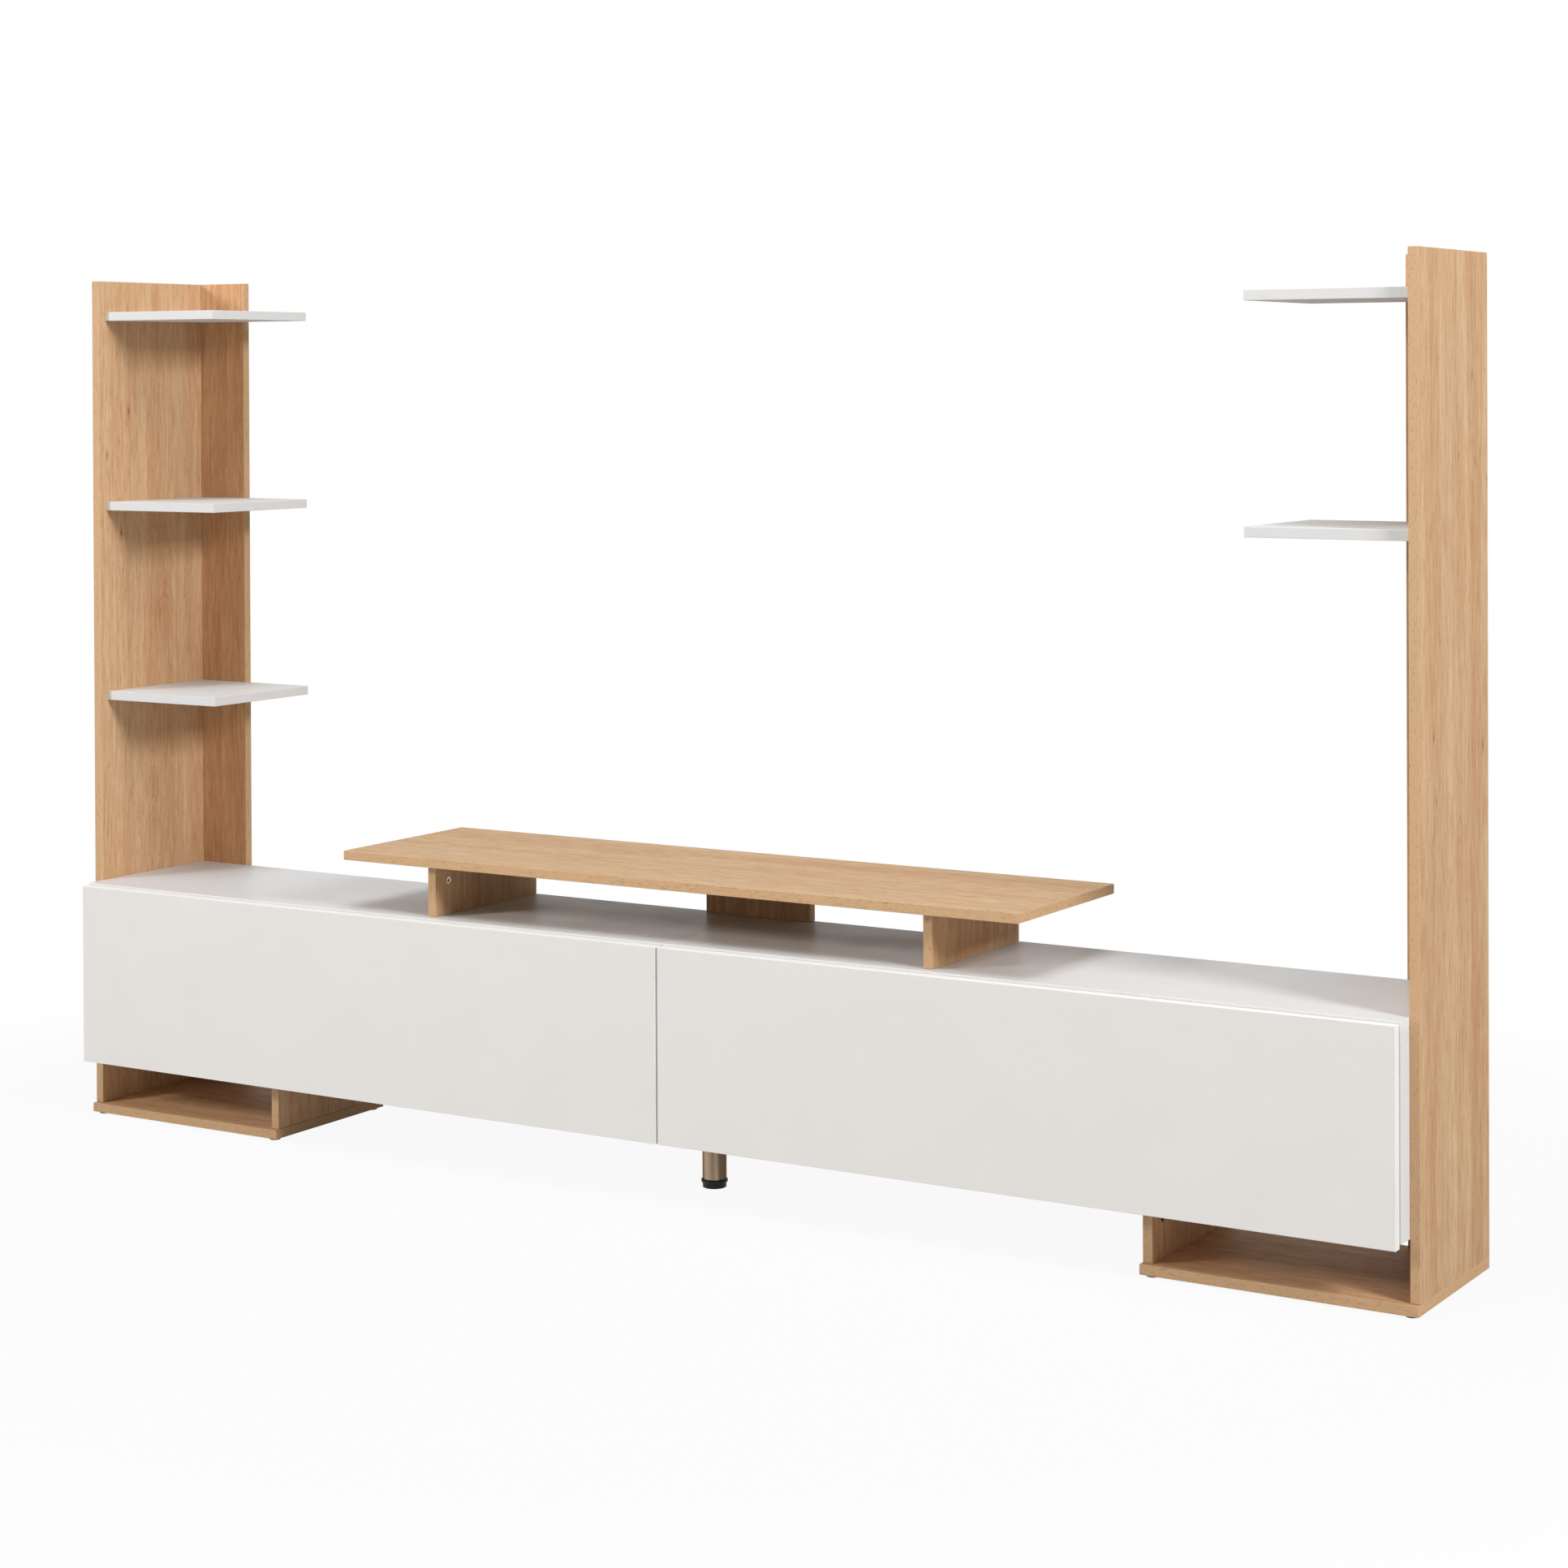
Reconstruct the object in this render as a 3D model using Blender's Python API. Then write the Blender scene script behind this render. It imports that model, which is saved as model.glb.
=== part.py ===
"""TV wall unit: two flap-door cabinets on end bases and a centre leg, two shelf towers and a riser.

Metres, +Z up, +X to the right of someone facing the flaps, -Y to the front. The origin is on the
floor under the middle of the unit.
"""
import math

import bpy
import bmesh
from mathutils import Matrix

# Driving sizes of the boards
BOARD = 0.018
BACK_BOARD = 0.003
EDGE_ROUND = 0.0008
JOINT_GAP = 0.0003
CUT_OVERRUN = 0.002

# Driving sizes of the cabinets and their flaps
MODULE_WIDTH = 1.420
CARCASS_DEPTH = 0.350
CARCASS_HEIGHT = 0.358
CABINET_UNDERSIDE = 0.126
GROOVE_INSET = 0.010
GROOVE_DEPTH = 0.008
GROOVE_BITE = 0.007
FLAP_HEIGHT = 0.361
FLAP_TOP_DROP = 0.004
FLAP_REVEAL = 0.002
FLAP_STANDOFF = 0.002

# Driving sizes of the bases and the towers
OVERALL_HEIGHT = 1.726
BASE_WIDTH = 0.493
BASE_DEPTH = 0.340
BASE_LIP = 0.002
TOWER_DEPTH = 0.330
TOWER_BACK_WIDTH = 0.120
SHELF_WIDTH = 0.293
SHELF_DEPTH = 0.292
SHELF_RISE = 0.373
SHELF_CROWN = 0.064

# Driving sizes of the riser that the screen stands on
RISER_LENGTH = 1.476
RISER_DEPTH = 0.378
SUPPORT_HEIGHT = 0.099
RISER_OVERHANG = 0.184
SUPPORT_DEPTH = 0.330
REAR_SUPPORT_WIDTH = 0.235

# Floor glides: a round foot and the nail that holds it in the base board
GLIDE_HEIGHT = 0.004
GLIDE_RADIUS = 0.011
GLIDE_CROWN = 0.0012
GLIDE_INSET = 0.017
NAIL_RADIUS = 0.0015
NAIL_LENGTH = 0.012

# Cam locks, sunk into a board's face near its end
CAM_RADIUS = 0.0075
CAM_THICKNESS = 0.0118
CAM_BORE_DEPTH = 0.0124
CAM_INSET = 0.042
CAM_DROP = 0.034
CAM_SLOT_LENGTH = 0.0092
CAM_SLOT_WIDTH = 0.0018
CAM_SLOT_DEPTH = 0.0022

# Centre leg: screwed plate, steel tube and an adjustable plastic foot
LEG_PLATE_RADIUS = 0.040
LEG_PLATE = 0.003
LEG_RADIUS = 0.0227
LEG_WALL = 0.0014
LEG_WEB = 0.010
FOOT_RADIUS = 0.0222
FOOT_RING_RADIUS = 0.0250
FOOT_RING_LOW = 0.0066
FOOT_RING_HEIGHT = 0.0094
FOOT_ROUND = 0.0024
FOOT_BOSS = 0.022
STUD_RADIUS = 0.005
STUD_LENGTH = 0.052

# Concealed hinges: a cup let into the flap and an arm under the top board
PIVOT_DEPTH = 0.010
PIVOT_DROP = 0.005
HINGE_INSET = 0.110
CUP_RADIUS = 0.0175
CUP_DEPTH = 0.0112
CUP_WALL = 0.0015
CUP_EDGE = 0.0035
CUP_FLANGE = 0.0010
CUP_FLANGE_WIDTH = 0.052
CUP_FLANGE_HEIGHT = 0.030
ARM_WIDTH = 0.014
ARM_HEIGHT = 0.0125
ARM_SETBACK = 0.008
ARM_LENGTH = 0.062
ARM_NOSE_WIDTH = 0.010
ARM_NOSE_HEIGHT = 0.009
ARM_NOSE_REACH = 0.005
ARM_PLATE = 0.0025
ARM_PLATE_WIDTH = 0.046
ARM_PLATE_LENGTH = 0.020

# Gas struts: one for each flap, beside its outer end
STRUT_FOOT_BACK = 0.107
STRUT_FOOT_DROP = 0.2065
STRUT_HEAD_BACK = 0.030
STRUT_HEAD_DROP = 0.055
STRUT_STANDOFF = 0.014
STRUT_RADIUS = 0.0075
STRUT_ROD_RADIUS = 0.003
STRUT_ROD_SHOWN = 0.035
STRUT_ROD_CLEAR = 0.012
STRUT_TUBE_START = 0.010
STRUT_TUBE_FLOOR = 0.022
STRUT_TUBE_EYE_RADIUS = 0.0070
STRUT_NECK_RADIUS = 0.0035
STRUT_EYE_WIDTH = 0.008
STRUT_EYE_RADIUS = 0.0052
STRUT_PIN_RADIUS = 0.004
STRUT_PIN_OVERHANG = 0.001
ANCHOR_PLATE = 0.002
ANCHOR_DEPTH = 0.026
ANCHOR_HEIGHT = 0.044
BRACKET_PLATE = 0.002
BRACKET_HEIGHT = 0.044
BRACKET_WIDTH = 0.016
BRACKET_EAR = 0.0025
BRACKET_EAR_RADIUS = 0.008
OPEN_PIVOT_GAP = 0.0005

# Planes across the depth, front to back
DEPTH = BOARD + FLAP_STANDOFF + CARCASS_DEPTH + JOINT_GAP + BOARD
FLAP_FRONT = -DEPTH / 2
FLAP_BACK = FLAP_FRONT + BOARD
CARCASS_FRONT = FLAP_BACK + FLAP_STANDOFF
CARCASS_BACK = CARCASS_FRONT + CARCASS_DEPTH
REAR = DEPTH / 2
TOWER_FRONT = REAR - TOWER_DEPTH
BASE_FRONT = REAR - BASE_DEPTH

# Planes across the width, from the middle outwards
MODULE_INNER = JOINT_GAP / 2
MODULE_OUTER = MODULE_INNER + MODULE_WIDTH
TOWER_INNER = MODULE_OUTER + JOINT_GAP
TOWER_OUTER = TOWER_INNER + BOARD
BASE_INNER = TOWER_OUTER - BASE_WIDTH
LEG_PANEL_INNER = BASE_INNER + BASE_LIP

# Planes up the height
BASE_TOP = GLIDE_HEIGHT + BOARD
CABINET_TOP = CABINET_UNDERSIDE + CARCASS_HEIGHT
TOP_UNDERSIDE = CABINET_TOP - BOARD
BOTTOM_TOP = CABINET_UNDERSIDE + BOARD
FLAP_TOP = CABINET_TOP - FLAP_TOP_DROP
SUPPORT_LOW = CABINET_TOP + JOINT_GAP
SUPPORT_TOP = SUPPORT_LOW + SUPPORT_HEIGHT
RISER_UNDERSIDE = SUPPORT_TOP + JOINT_GAP
LOWER_SHELF = CABINET_TOP + SHELF_RISE
UPPER_SHELF = OVERALL_HEIGHT - SHELF_CROWN - BOARD

# The flaps' pivot line
PIVOT_Y = FLAP_FRONT + PIVOT_DEPTH
PIVOT_Z = FLAP_TOP - PIVOT_DROP

# Facets round a large and a small circle and along a quarter turn, and the sharpest smooth corner
ROUND_STEPS = 32
FINE_STEPS = 20
ARC_STEPS = 3
SMOOTH_DEGREES = 35
SIDES = {"left": -1, "right": 1}


def clear_scene():
    for obj in list(bpy.data.objects):
        bpy.data.objects.remove(obj, do_unlink=True)


def finish(name, colour, roughness, metallic=0.0):
    material = bpy.data.materials.new(name)
    material.use_nodes = True
    shader = material.node_tree.nodes["Principled BSDF"]
    shader.inputs["Base Color"].default_value = (*colour, 1.0)
    shader.inputs["Roughness"].default_value = roughness
    shader.inputs["Metallic"].default_value = metallic
    return material


def add_object(name, mesh, material, centre, carrier=None):
    """Link a mesh as an object at a place in the room, held by an empty where it moves."""
    obj = bpy.data.objects.new(name, mesh)
    bpy.context.scene.collection.objects.link(obj)
    if material is not None:
        mesh.materials.append(material)
    home = carrier.location if carrier else (0, 0, 0)
    obj.parent = carrier
    obj.location = [place - start for place, start in zip(centre, home)]
    return obj


def pivot(name, centre, carrier=None):
    """An empty on a joint's axis."""
    return add_object(name, None, None, centre, carrier)


def hide_as_cutter(obj):
    obj.hide_render = True
    obj.display_type = "WIRE"
    return obj


def combine(obj, tool, operation):
    change = obj.modifiers.new(tool.name, "BOOLEAN")
    change.operation = operation
    change.object = hide_as_cutter(tool)
    return obj


def cut(obj, tool):
    return combine(obj, tool, "DIFFERENCE")


def join(obj, tool):
    return combine(obj, tool, "UNION")


def round_edges(obj, width=EDGE_ROUND):
    bevel = obj.modifiers.new("rounded edges", "BEVEL")
    bevel.width = width
    bevel.segments = 2
    bevel.limit_method = "ANGLE"
    return obj


def block(name, x, y, z, material=None, carrier=None):
    """A plain box between pairs of planes, its origin in its middle."""
    spans = [sorted(span) for span in (x, y, z)]
    centre = [(low + high) / 2 for low, high in spans]
    mesh = bpy.data.meshes.new(name)
    bm = bmesh.new()
    size = Matrix.Diagonal([high - low for low, high in spans]).to_4x4()
    bmesh.ops.create_cube(bm, size=1.0, matrix=size)
    bm.to_mesh(mesh)
    bm.free()
    return add_object(name, mesh, material, centre, carrier)


def board(name, x, y, z, material, carrier=None):
    """A panel with the small rounding of its glued-on edging."""
    return round_edges(block(name, x, y, z, material, carrier))


def across(side, low, high):
    """A pair of X planes, mirrored for the left-hand side."""
    return (side * low, side * high)


def middle(pair):
    return (pair[0] + pair[1]) / 2


def turned(name, profile, centre, material=None, carrier=None, axis="Z", steps=ROUND_STEPS):
    """A solid of revolution from (radius, height) points, listed up its outside and back to its axis."""
    bm = bmesh.new()
    rings = []
    for radius, height in profile:
        if radius == 0:
            rings.append([bm.verts.new((0, 0, height))] * steps)
            continue
        turns = [math.tau * step / steps for step in range(steps)]
        rings.append([bm.verts.new((radius * math.cos(t), radius * math.sin(t), height)) for t in turns])
    closed_on_axis = profile[0][0] == 0 and profile[-1][0] == 0
    pairs = list(zip(rings, rings[1:]))
    if not closed_on_axis:
        pairs.append((rings[-1], rings[0]))
    for lower, upper in pairs:
        for step in range(steps):
            after = (step + 1) % steps
            corners = [lower[step], lower[after], upper[after], upper[step]]
            bm.faces.new(list(dict.fromkeys(corners)))
    turn = {"X": Matrix.Rotation(math.pi / 2, 4, "Y"), "Y": Matrix.Rotation(-math.pi / 2, 4, "X")}
    if axis in turn:
        bmesh.ops.transform(bm, matrix=turn[axis], verts=bm.verts)
    mesh = bpy.data.meshes.new(name)
    bm.to_mesh(mesh)
    bm.free()
    mesh.shade_smooth()
    mesh.set_sharp_from_angle(angle=math.radians(SMOOTH_DEGREES))
    return add_object(name, mesh, material, centre, carrier)


def rod(name, radius, low, high, centre, material=None, carrier=None, axis="Z", steps=ROUND_STEPS):
    """A plain cylinder between two heights on its axis."""
    profile = [(0, low), (radius, low), (radius, high), (0, high)]
    return turned(name, profile, centre, material, carrier, axis, steps)


def arc(radius_at, height_at, radius, start, end):
    """Points on an arc in a turned profile, angles in degrees from the outward direction."""
    spread = [math.radians(start + (end - start) * step / ARC_STEPS) for step in range(ARC_STEPS + 1)]
    return [(radius_at + radius * math.cos(a), height_at + radius * math.sin(a)) for a in spread]


def build_base(word, side, oak, glide_plastic):
    """The board on the floor glides and the short leg panel near its inner edge."""
    base_x = across(side, BASE_INNER, TOWER_OUTER)
    base = board(f"base_panel_{word}", base_x, (BASE_FRONT, REAR), (GLIDE_HEIGHT, BASE_TOP), oak)
    leg_x = across(side, LEG_PANEL_INNER, LEG_PANEL_INNER + BOARD)
    leg_z = (BASE_TOP + JOINT_GAP, CABINET_UNDERSIDE - JOINT_GAP)
    leg = board(f"leg_panel_{word}", leg_x, (TOWER_FRONT, REAR), leg_z, oak)
    outboard = side * (LEG_PANEL_INNER + BOARD)
    for number, y in enumerate((TOWER_FRONT + CAM_INSET, REAR - CAM_INSET), 1):
        bore_cam(leg, f"leg_bore_{word}_{number}", outboard, -side, y, leg_z[1] - CAM_DROP)

    places = [(x, y) for y in (BASE_FRONT + GLIDE_INSET, REAR - GLIDE_INSET)
              for x in (BASE_INNER + GLIDE_INSET, TOWER_OUTER - GLIDE_INSET)]
    for number, (x, y) in enumerate(places, 1):
        build_glide(base, f"{word}_{number}", side * x, y, glide_plastic)


def build_glide(base, label, x, y, material):
    """A round plastic glide; its nail sits in a bore in the base board."""
    head = GLIDE_HEIGHT - JOINT_GAP
    nail_top = GLIDE_HEIGHT + NAIL_LENGTH
    bore = rod(f"nail_bore_{label}", NAIL_RADIUS + JOINT_GAP, GLIDE_HEIGHT - CUT_OVERRUN,
               nail_top + JOINT_GAP, (x, y, 0), steps=FINE_STEPS)
    cut(base, bore)
    crown = arc(GLIDE_RADIUS - GLIDE_CROWN, GLIDE_CROWN, GLIDE_CROWN, -90, 0)
    profile = [(0, 0), *crown, (GLIDE_RADIUS, head), (NAIL_RADIUS, head), (NAIL_RADIUS, nail_top),
               (0, nail_top)]
    turned(f"glide_{label}", profile, (x, y, 0), material, steps=FINE_STEPS)


def bore_cam(panel, name, face_x, inward, y, z):
    """A blind bore for a cam lock; inward is the direction from the face into the board."""
    bore = rod(name, CAM_RADIUS, -CUT_OVERRUN, CAM_BORE_DEPTH, (face_x, y, z), axis="X", steps=FINE_STEPS)
    bore.scale.x = inward
    cut(panel, bore)


def build_cam(name, face_x, inward, y, z, zinc):
    """A cam lock with a cross for the screwdriver, a little below the board's face."""
    radius = CAM_RADIUS - JOINT_GAP
    centre = face_x + inward * (JOINT_GAP + CAM_THICKNESS / 2)
    half = CAM_THICKNESS / 2
    cam = rod(name, radius, -half, half, (centre, y, z), zinc, axis="X", steps=FINE_STEPS)
    face = face_x + inward * JOINT_GAP
    slot_x = (face - inward * CUT_OVERRUN, face + inward * CAM_SLOT_DEPTH)
    long_half = CAM_SLOT_LENGTH / 2
    short_half = CAM_SLOT_WIDTH / 2
    upright = block(f"{name}_upright_slot", slot_x, (y - short_half, y + short_half),
                    (z - long_half, z + long_half))
    level = block(f"{name}_level_slot", slot_x, (y - long_half, y + long_half),
                  (z - short_half, z + short_half))
    cut(cam, upright)
    cut(cam, level)


def build_tower(word, side, shelf_names, oak, white):
    """Side panel, narrow back panel and shelves; the shelves butt against both."""
    low = BASE_TOP + JOINT_GAP
    board(f"tower_side_{word}", across(side, TOWER_INNER, TOWER_OUTER), (TOWER_FRONT, REAR),
          (low, OVERALL_HEIGHT), oak)
    against_side = TOWER_INNER - JOINT_GAP
    board(f"tower_back_{word}", across(side, against_side - TOWER_BACK_WIDTH, against_side),
          (CARCASS_BACK + JOINT_GAP, REAR), (low, OVERALL_HEIGHT), oak)
    heights = {"lower": LOWER_SHELF, "middle": middle((LOWER_SHELF, UPPER_SHELF)), "upper": UPPER_SHELF}
    for shelf in shelf_names:
        underside = heights[shelf]
        board(f"shelf_{word}_{shelf}", across(side, against_side - SHELF_WIDTH, against_side),
              (CARCASS_BACK - SHELF_DEPTH, CARCASS_BACK), (underside, underside + BOARD), white)


def build_carcass(word, side, white, hardboard):
    """One cabinet: top over the sides, bottom between them, thin back in a groove all round."""
    outer_face = MODULE_OUTER - BOARD
    inner_face = MODULE_INNER + BOARD
    y = (CARCASS_FRONT, CARCASS_BACK)
    upright = (CABINET_UNDERSIDE, TOP_UNDERSIDE - JOINT_GAP)
    panels = [
        board(f"cabinet_top_{word}", across(side, MODULE_INNER, MODULE_OUTER), y,
              (TOP_UNDERSIDE, CABINET_TOP), white),
        board(f"cabinet_bottom_{word}", across(side, inner_face + JOINT_GAP, outer_face - JOINT_GAP), y,
              (CABINET_UNDERSIDE, BOTTOM_TOP), white),
        board(f"cabinet_side_outer_{word}", across(side, outer_face, MODULE_OUTER), y, upright, white),
        board(f"cabinet_side_inner_{word}", across(side, MODULE_INNER, inner_face), y, upright, white),
    ]
    back_y = (CARCASS_BACK - GROOVE_INSET - BACK_BOARD, CARCASS_BACK - GROOVE_INSET)
    block(f"cabinet_back_{word}", across(side, inner_face - GROOVE_BITE, outer_face + GROOVE_BITE), back_y,
          (BOTTOM_TOP - GROOVE_BITE, TOP_UNDERSIDE + GROOVE_BITE), hardboard)
    groove = block(f"groove_{word}", across(side, inner_face - GROOVE_DEPTH, outer_face + GROOVE_DEPTH),
                   (back_y[0] - JOINT_GAP, back_y[1] + JOINT_GAP),
                   (BOTTOM_TOP - GROOVE_DEPTH, TOP_UNDERSIDE + GROOVE_DEPTH))
    for panel in panels:
        cut(panel, groove)


def build_flap(word, side, white, steel):
    """A lift-up door that turns about a line near its own top edge."""
    inner_end = MODULE_INNER + FLAP_REVEAL
    outer_end = MODULE_OUTER - FLAP_REVEAL
    line = pivot(f"flap_{word}_pivot", (side * (inner_end + outer_end) / 2, PIVOT_Y, PIVOT_Z))
    flap = board(f"flap_{word}", across(side, inner_end, outer_end), (FLAP_FRONT, FLAP_BACK),
                 (FLAP_TOP - FLAP_HEIGHT, FLAP_TOP), white, line)
    for number, x in enumerate((inner_end + HINGE_INSET, outer_end - HINGE_INSET), 1):
        build_hinge(flap, line, f"{word}_{number}", side * x, steel)
    return line


def build_hinge(flap, line, label, x, steel):
    """A cup in the flap's back and the arm under the top board whose nose reaches into the cup."""
    cup_z = FLAP_TOP - CUP_EDGE - CUP_RADIUS
    at = (x, FLAP_BACK, cup_z)
    bore = rod(f"cup_bore_{label}", CUP_RADIUS + JOINT_GAP, -CUP_DEPTH - JOINT_GAP, CUT_OVERRUN, at,
               carrier=line, axis="Y")
    cut(flap, bore)
    half_width = CUP_FLANGE_WIDTH / 2
    half_height = CUP_FLANGE_HEIGHT / 2
    face = FLAP_BACK + JOINT_GAP
    cup = block(f"hinge_cup_{label}", (x - half_width, x + half_width), (face, face + CUP_FLANGE),
                (cup_z - half_height, cup_z + half_height), steel, line)
    shell = rod(f"cup_shell_{label}", CUP_RADIUS, -CUP_DEPTH, JOINT_GAP + CUP_FLANGE, at,
                carrier=line, axis="Y")
    hollow = rod(f"cup_hollow_{label}", CUP_RADIUS - CUP_WALL, CUP_WALL - CUP_DEPTH,
                 CUP_FLANGE + CUT_OVERRUN, at, carrier=line, axis="Y")
    join(cup, shell)
    cut(cup, hollow)

    ceiling = TOP_UNDERSIDE - JOINT_GAP
    arm_top = ceiling - ARM_PLATE / 2
    arm_low = ceiling - ARM_HEIGHT
    arm_front = CARCASS_FRONT + ARM_SETBACK
    half_arm = ARM_WIDTH / 2
    arm = block(f"hinge_arm_{label}", (x - half_arm, x + half_arm), (arm_front, arm_front + ARM_LENGTH),
                (arm_low, arm_top), steel)
    half_nose = ARM_NOSE_WIDTH / 2
    nose = block(f"arm_nose_{label}", (x - half_nose, x + half_nose),
                 (FLAP_BACK - ARM_NOSE_REACH, arm_front + ARM_SETBACK),
                 (arm_low - JOINT_GAP, arm_low + ARM_NOSE_HEIGHT))
    plate_y = arm_front + ARM_LENGTH / 2
    half_plate = ARM_PLATE_WIDTH / 2
    half_long = ARM_PLATE_LENGTH / 2
    plate = block(f"arm_plate_{label}", (x - half_plate, x + half_plate),
                  (plate_y - half_long, plate_y + half_long), (ceiling - ARM_PLATE, ceiling))
    join(arm, nose)
    join(arm, plate)


def build_strut(word, side, line, steel, black_steel):
    """Gas strut from the cabinet side up to the flap; the tube turns on the anchor's pin."""
    wall = MODULE_OUTER - BOARD
    x = side * (wall - STRUT_STANDOFF)
    foot = (PIVOT_Y + STRUT_FOOT_BACK, PIVOT_Z - STRUT_FOOT_DROP)
    head = (PIVOT_Y + STRUT_HEAD_BACK, PIVOT_Z - STRUT_HEAD_DROP)
    length = math.dist(foot, head)
    lean = math.atan2(foot[0] - head[0], head[1] - foot[1])
    tube_end = length - STRUT_ROD_SHOWN
    half_eye = STRUT_EYE_WIDTH / 2

    plate_x = (wall - JOINT_GAP - ANCHOR_PLATE, wall - JOINT_GAP)
    pin_end = wall - STRUT_STANDOFF - half_eye - STRUT_PIN_OVERHANG
    anchor = block(f"strut_anchor_{word}", across(side, *plate_x),
                   (foot[0] - ANCHOR_DEPTH / 2, foot[0] + ANCHOR_DEPTH / 2),
                   (foot[1] - ANCHOR_HEIGHT / 2, foot[1] + ANCHOR_HEIGHT / 2), steel)
    pin_x = across(side, pin_end, middle(plate_x))
    pin_half = abs(pin_x[1] - pin_x[0]) / 2
    pin = rod(f"strut_pin_{word}", STRUT_PIN_RADIUS, -pin_half, pin_half, (middle(pin_x), *foot),
              axis="X", steps=FINE_STEPS)
    join(anchor, pin)

    swing = pivot(f"strut_{word}_swing", (x, *foot))
    swing.rotation_euler.x = lean
    bore_radius = STRUT_ROD_RADIUS + JOINT_GAP
    profile = [(0, 0), (STRUT_NECK_RADIUS, 0), (STRUT_NECK_RADIUS, STRUT_TUBE_START),
               (STRUT_RADIUS, STRUT_TUBE_START), (STRUT_RADIUS, tube_end), (bore_radius, tube_end),
               (bore_radius, STRUT_TUBE_FLOOR), (0, STRUT_TUBE_FLOOR)]
    tube = turned(f"strut_tube_{word}", profile, swing.location, black_steel, swing, steps=FINE_STEPS)
    eye = rod(f"tube_eye_{word}", STRUT_TUBE_EYE_RADIUS, -half_eye, half_eye, swing.location,
              carrier=swing, axis="X", steps=FINE_STEPS)
    join(tube, eye)
    hole_half = half_eye + CUT_OVERRUN
    hole = rod(f"tube_hole_{word}", STRUT_PIN_RADIUS + JOINT_GAP, -hole_half, hole_half, swing.location,
               carrier=swing, axis="X", steps=FINE_STEPS)
    cut(tube, hole)

    rod_foot = STRUT_TUBE_FLOOR + STRUT_ROD_CLEAR
    piston = rod(f"strut_rod_{word}", STRUT_ROD_RADIUS, rod_foot, length, swing.location, steel, swing,
                 steps=FINE_STEPS)
    rod_eye = rod(f"rod_eye_{word}", STRUT_EYE_RADIUS, -half_eye, half_eye, swing.location,
                  carrier=swing, axis="X", steps=FINE_STEPS)
    rod_eye.location.z = length
    join(piston, rod_eye)

    ear_inner = wall - STRUT_STANDOFF - half_eye - OPEN_PIVOT_GAP - BRACKET_EAR
    ear_x = across(side, ear_inner, ear_inner + BRACKET_EAR)
    face = FLAP_BACK + JOINT_GAP
    bracket = block(f"strut_bracket_{word}", across(side, ear_inner + BRACKET_EAR - BRACKET_WIDTH,
                                                    ear_inner + BRACKET_EAR),
                    (face, face + BRACKET_PLATE),
                    (head[1] - BRACKET_HEIGHT / 2, head[1] + BRACKET_HEIGHT / 2), steel, line)
    ear = block(f"bracket_ear_{word}", ear_x, (face + BRACKET_PLATE / 2, head[0]),
                (head[1] - BRACKET_EAR_RADIUS, head[1] + BRACKET_EAR_RADIUS), carrier=line)
    tip = rod(f"bracket_tip_{word}", BRACKET_EAR_RADIUS, -BRACKET_EAR / 2, BRACKET_EAR / 2,
              (middle(ear_x), *head), carrier=line, axis="X", steps=FINE_STEPS)
    join(bracket, ear)
    join(bracket, tip)


def build_riser(oak, zinc):
    """The raised board for the screen, on two side supports and one at the back."""
    half = RISER_LENGTH / 2
    board("riser_top", (-half, half), (REAR - RISER_DEPTH, REAR),
          (RISER_UNDERSIDE, RISER_UNDERSIDE + BOARD), oak)
    upright = (SUPPORT_LOW, SUPPORT_TOP)
    support_y = (CARCASS_BACK - SUPPORT_DEPTH, CARCASS_BACK)
    spread = half - RISER_OVERHANG
    inner_face = spread - BOARD
    for word, side in SIDES.items():
        support = board(f"riser_side_{word}", across(side, inner_face, spread), support_y, upright, oak)
        places = (support_y[0] + CAM_INSET, support_y[1] - CAM_INSET)
        for number, y in enumerate(places, 1):
            z = SUPPORT_TOP - CAM_DROP
            bore_cam(support, f"riser_bore_{word}_{number}", side * inner_face, side, y, z)
            build_cam(f"riser_cam_{word}_{number}", side * inner_face, side, y, z, zinc)
    rear_half = REAR_SUPPORT_WIDTH / 2
    board("riser_rear", (-rear_half, rear_half), (CARCASS_BACK - BOARD, CARCASS_BACK), upright, oak)


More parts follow.
